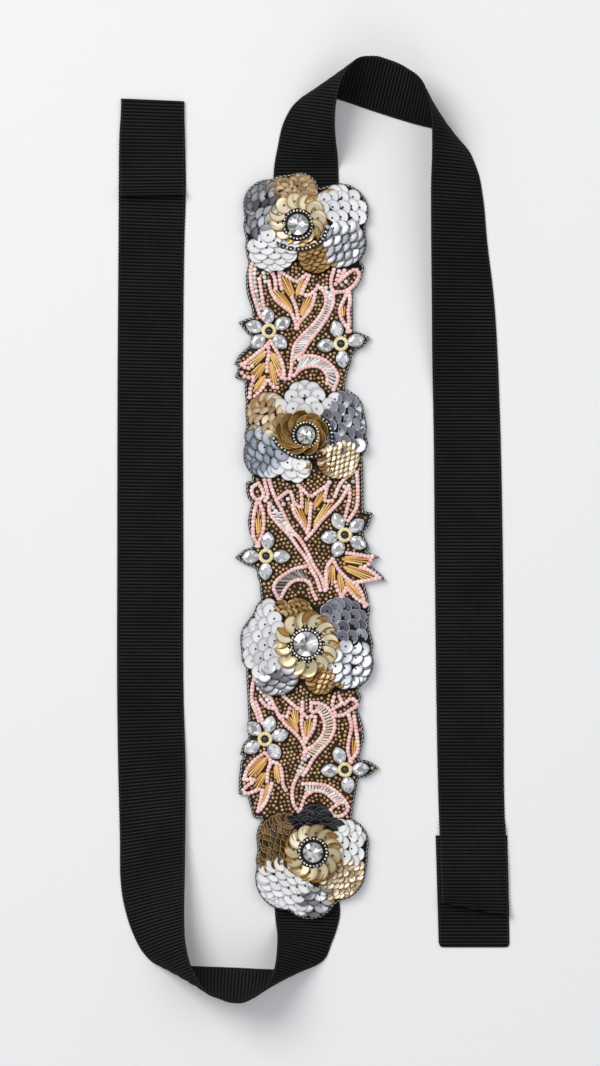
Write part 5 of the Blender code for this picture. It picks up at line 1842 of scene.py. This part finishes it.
settle(twisted("arc_cords", cords, ARC_CORD), "felt_black")

# %% [markdown]
# ## Stars of pointed stones
# A star is a cream ring of tiny beads round a black bead, with four or five pointed stones round it. One
# stone is worked out in its own frame and turned to each place. A stone has a flat table and two rows of
# facets.

# %% Pointed stones
STONE_STEPS = 8
CREAM_SIZE, CREAM_PITCH = 1.2, 1.5
STONE_RINGS = ((0.8, 4.4), (1.0, 5.3), (1.0, 5.6), (0.74, 6.5), (0.42, 7.0))


def stone_outline():
    """A pointed oval of length 1 and width 1, counter-clockwise from its outer tip."""
    share = np.linspace(0, 1, STONE_STEPS + 1)[:-1]
    upper = np.column_stack([0.5 - share, 0.5 * np.sin(math.pi * share) ** 0.7])
    return np.concatenate([upper, -upper])


def stone_shape(x, y, angle, rng):
    outline = stone_outline() * (STONE_LENGTH, STONE_WIDTH)
    count = len(outline)
    turn = np.array([[math.cos(angle), math.sin(angle)], [-math.sin(angle), math.cos(angle)]])
    points = [(*(corner * share @ turn + (x, y)), z) for share, z in STONE_RINGS for corner in outline]
    last = (len(STONE_RINGS) - 1) * count
    faces = [tuple(reversed(range(count))), *bands(len(STONE_RINGS), count), tuple(range(last, last + count))]
    # Each facet gets a random number, which the finish paints as a lighter or darker reflection.
    return points, faces, rng.random(len(faces))


def make_star(number, star):
    rng = np.random.default_rng(70 + number)
    points, faces, tones_and_glints = [], [], []
    for x, y, angle in stone_places(star):
        stone_points, stone_faces, stone_glints = stone_shape(x, y, angle, rng)
        faces += [tuple(i + len(points) for i in face) for face in stone_faces]
        points += stone_points
        tones_and_glints += list(stone_glints)
    stones = facet_mesh(f"star_{number}_stones", points, faces, tones_and_glints, FINISHES["marquise"])
    nodes = [f"star_{number}_stone_{i + 1}" for i in range(len(star.turns))]
    settle(stones, "glass_stone", *nodes)
    ring = circle(star.x, star.y, STAR_RING, STAR_HEIGHT, 0.3)
    beads = string_beads(f"star_{number}_ring", [ring], CREAM_PITCH, "cream_bead", CREAM_SIZE, number,
                         closed=True)
    settle(beads, "bead_ring_cream", f"star_{number}_centre")


for number, star in enumerate(STARS, 1):
    make_star(number, star)

# %% [markdown]
# One black bead stands in the middle of each star with its hole upwards. A bead lies along x, so it is
# turned by a right angle about y.

# %% Black beads in the stars
BLACK_SIZE = 1.75
places = lifted([(star.x, star.y) for star in STARS], STAR_HEIGHT)
upright = np.tile((0, math.pi / 2, 0), (len(STARS), 1))
sizes = np.full(upright.shape, BLACK_SIZE)
black = put_pieces("star_black_beads", BEAD, "black_bead", places, upright, sizes, np.full(len(STARS), 0.5))
settle(black, "bead_ring_cream")

# %% [markdown]
# ## Finish
# The templates are taken away.

# %% Finish
for piece in (BEAD, BUGLE, SEQUIN):
    bpy.data.objects.remove(piece, do_unlink=True)
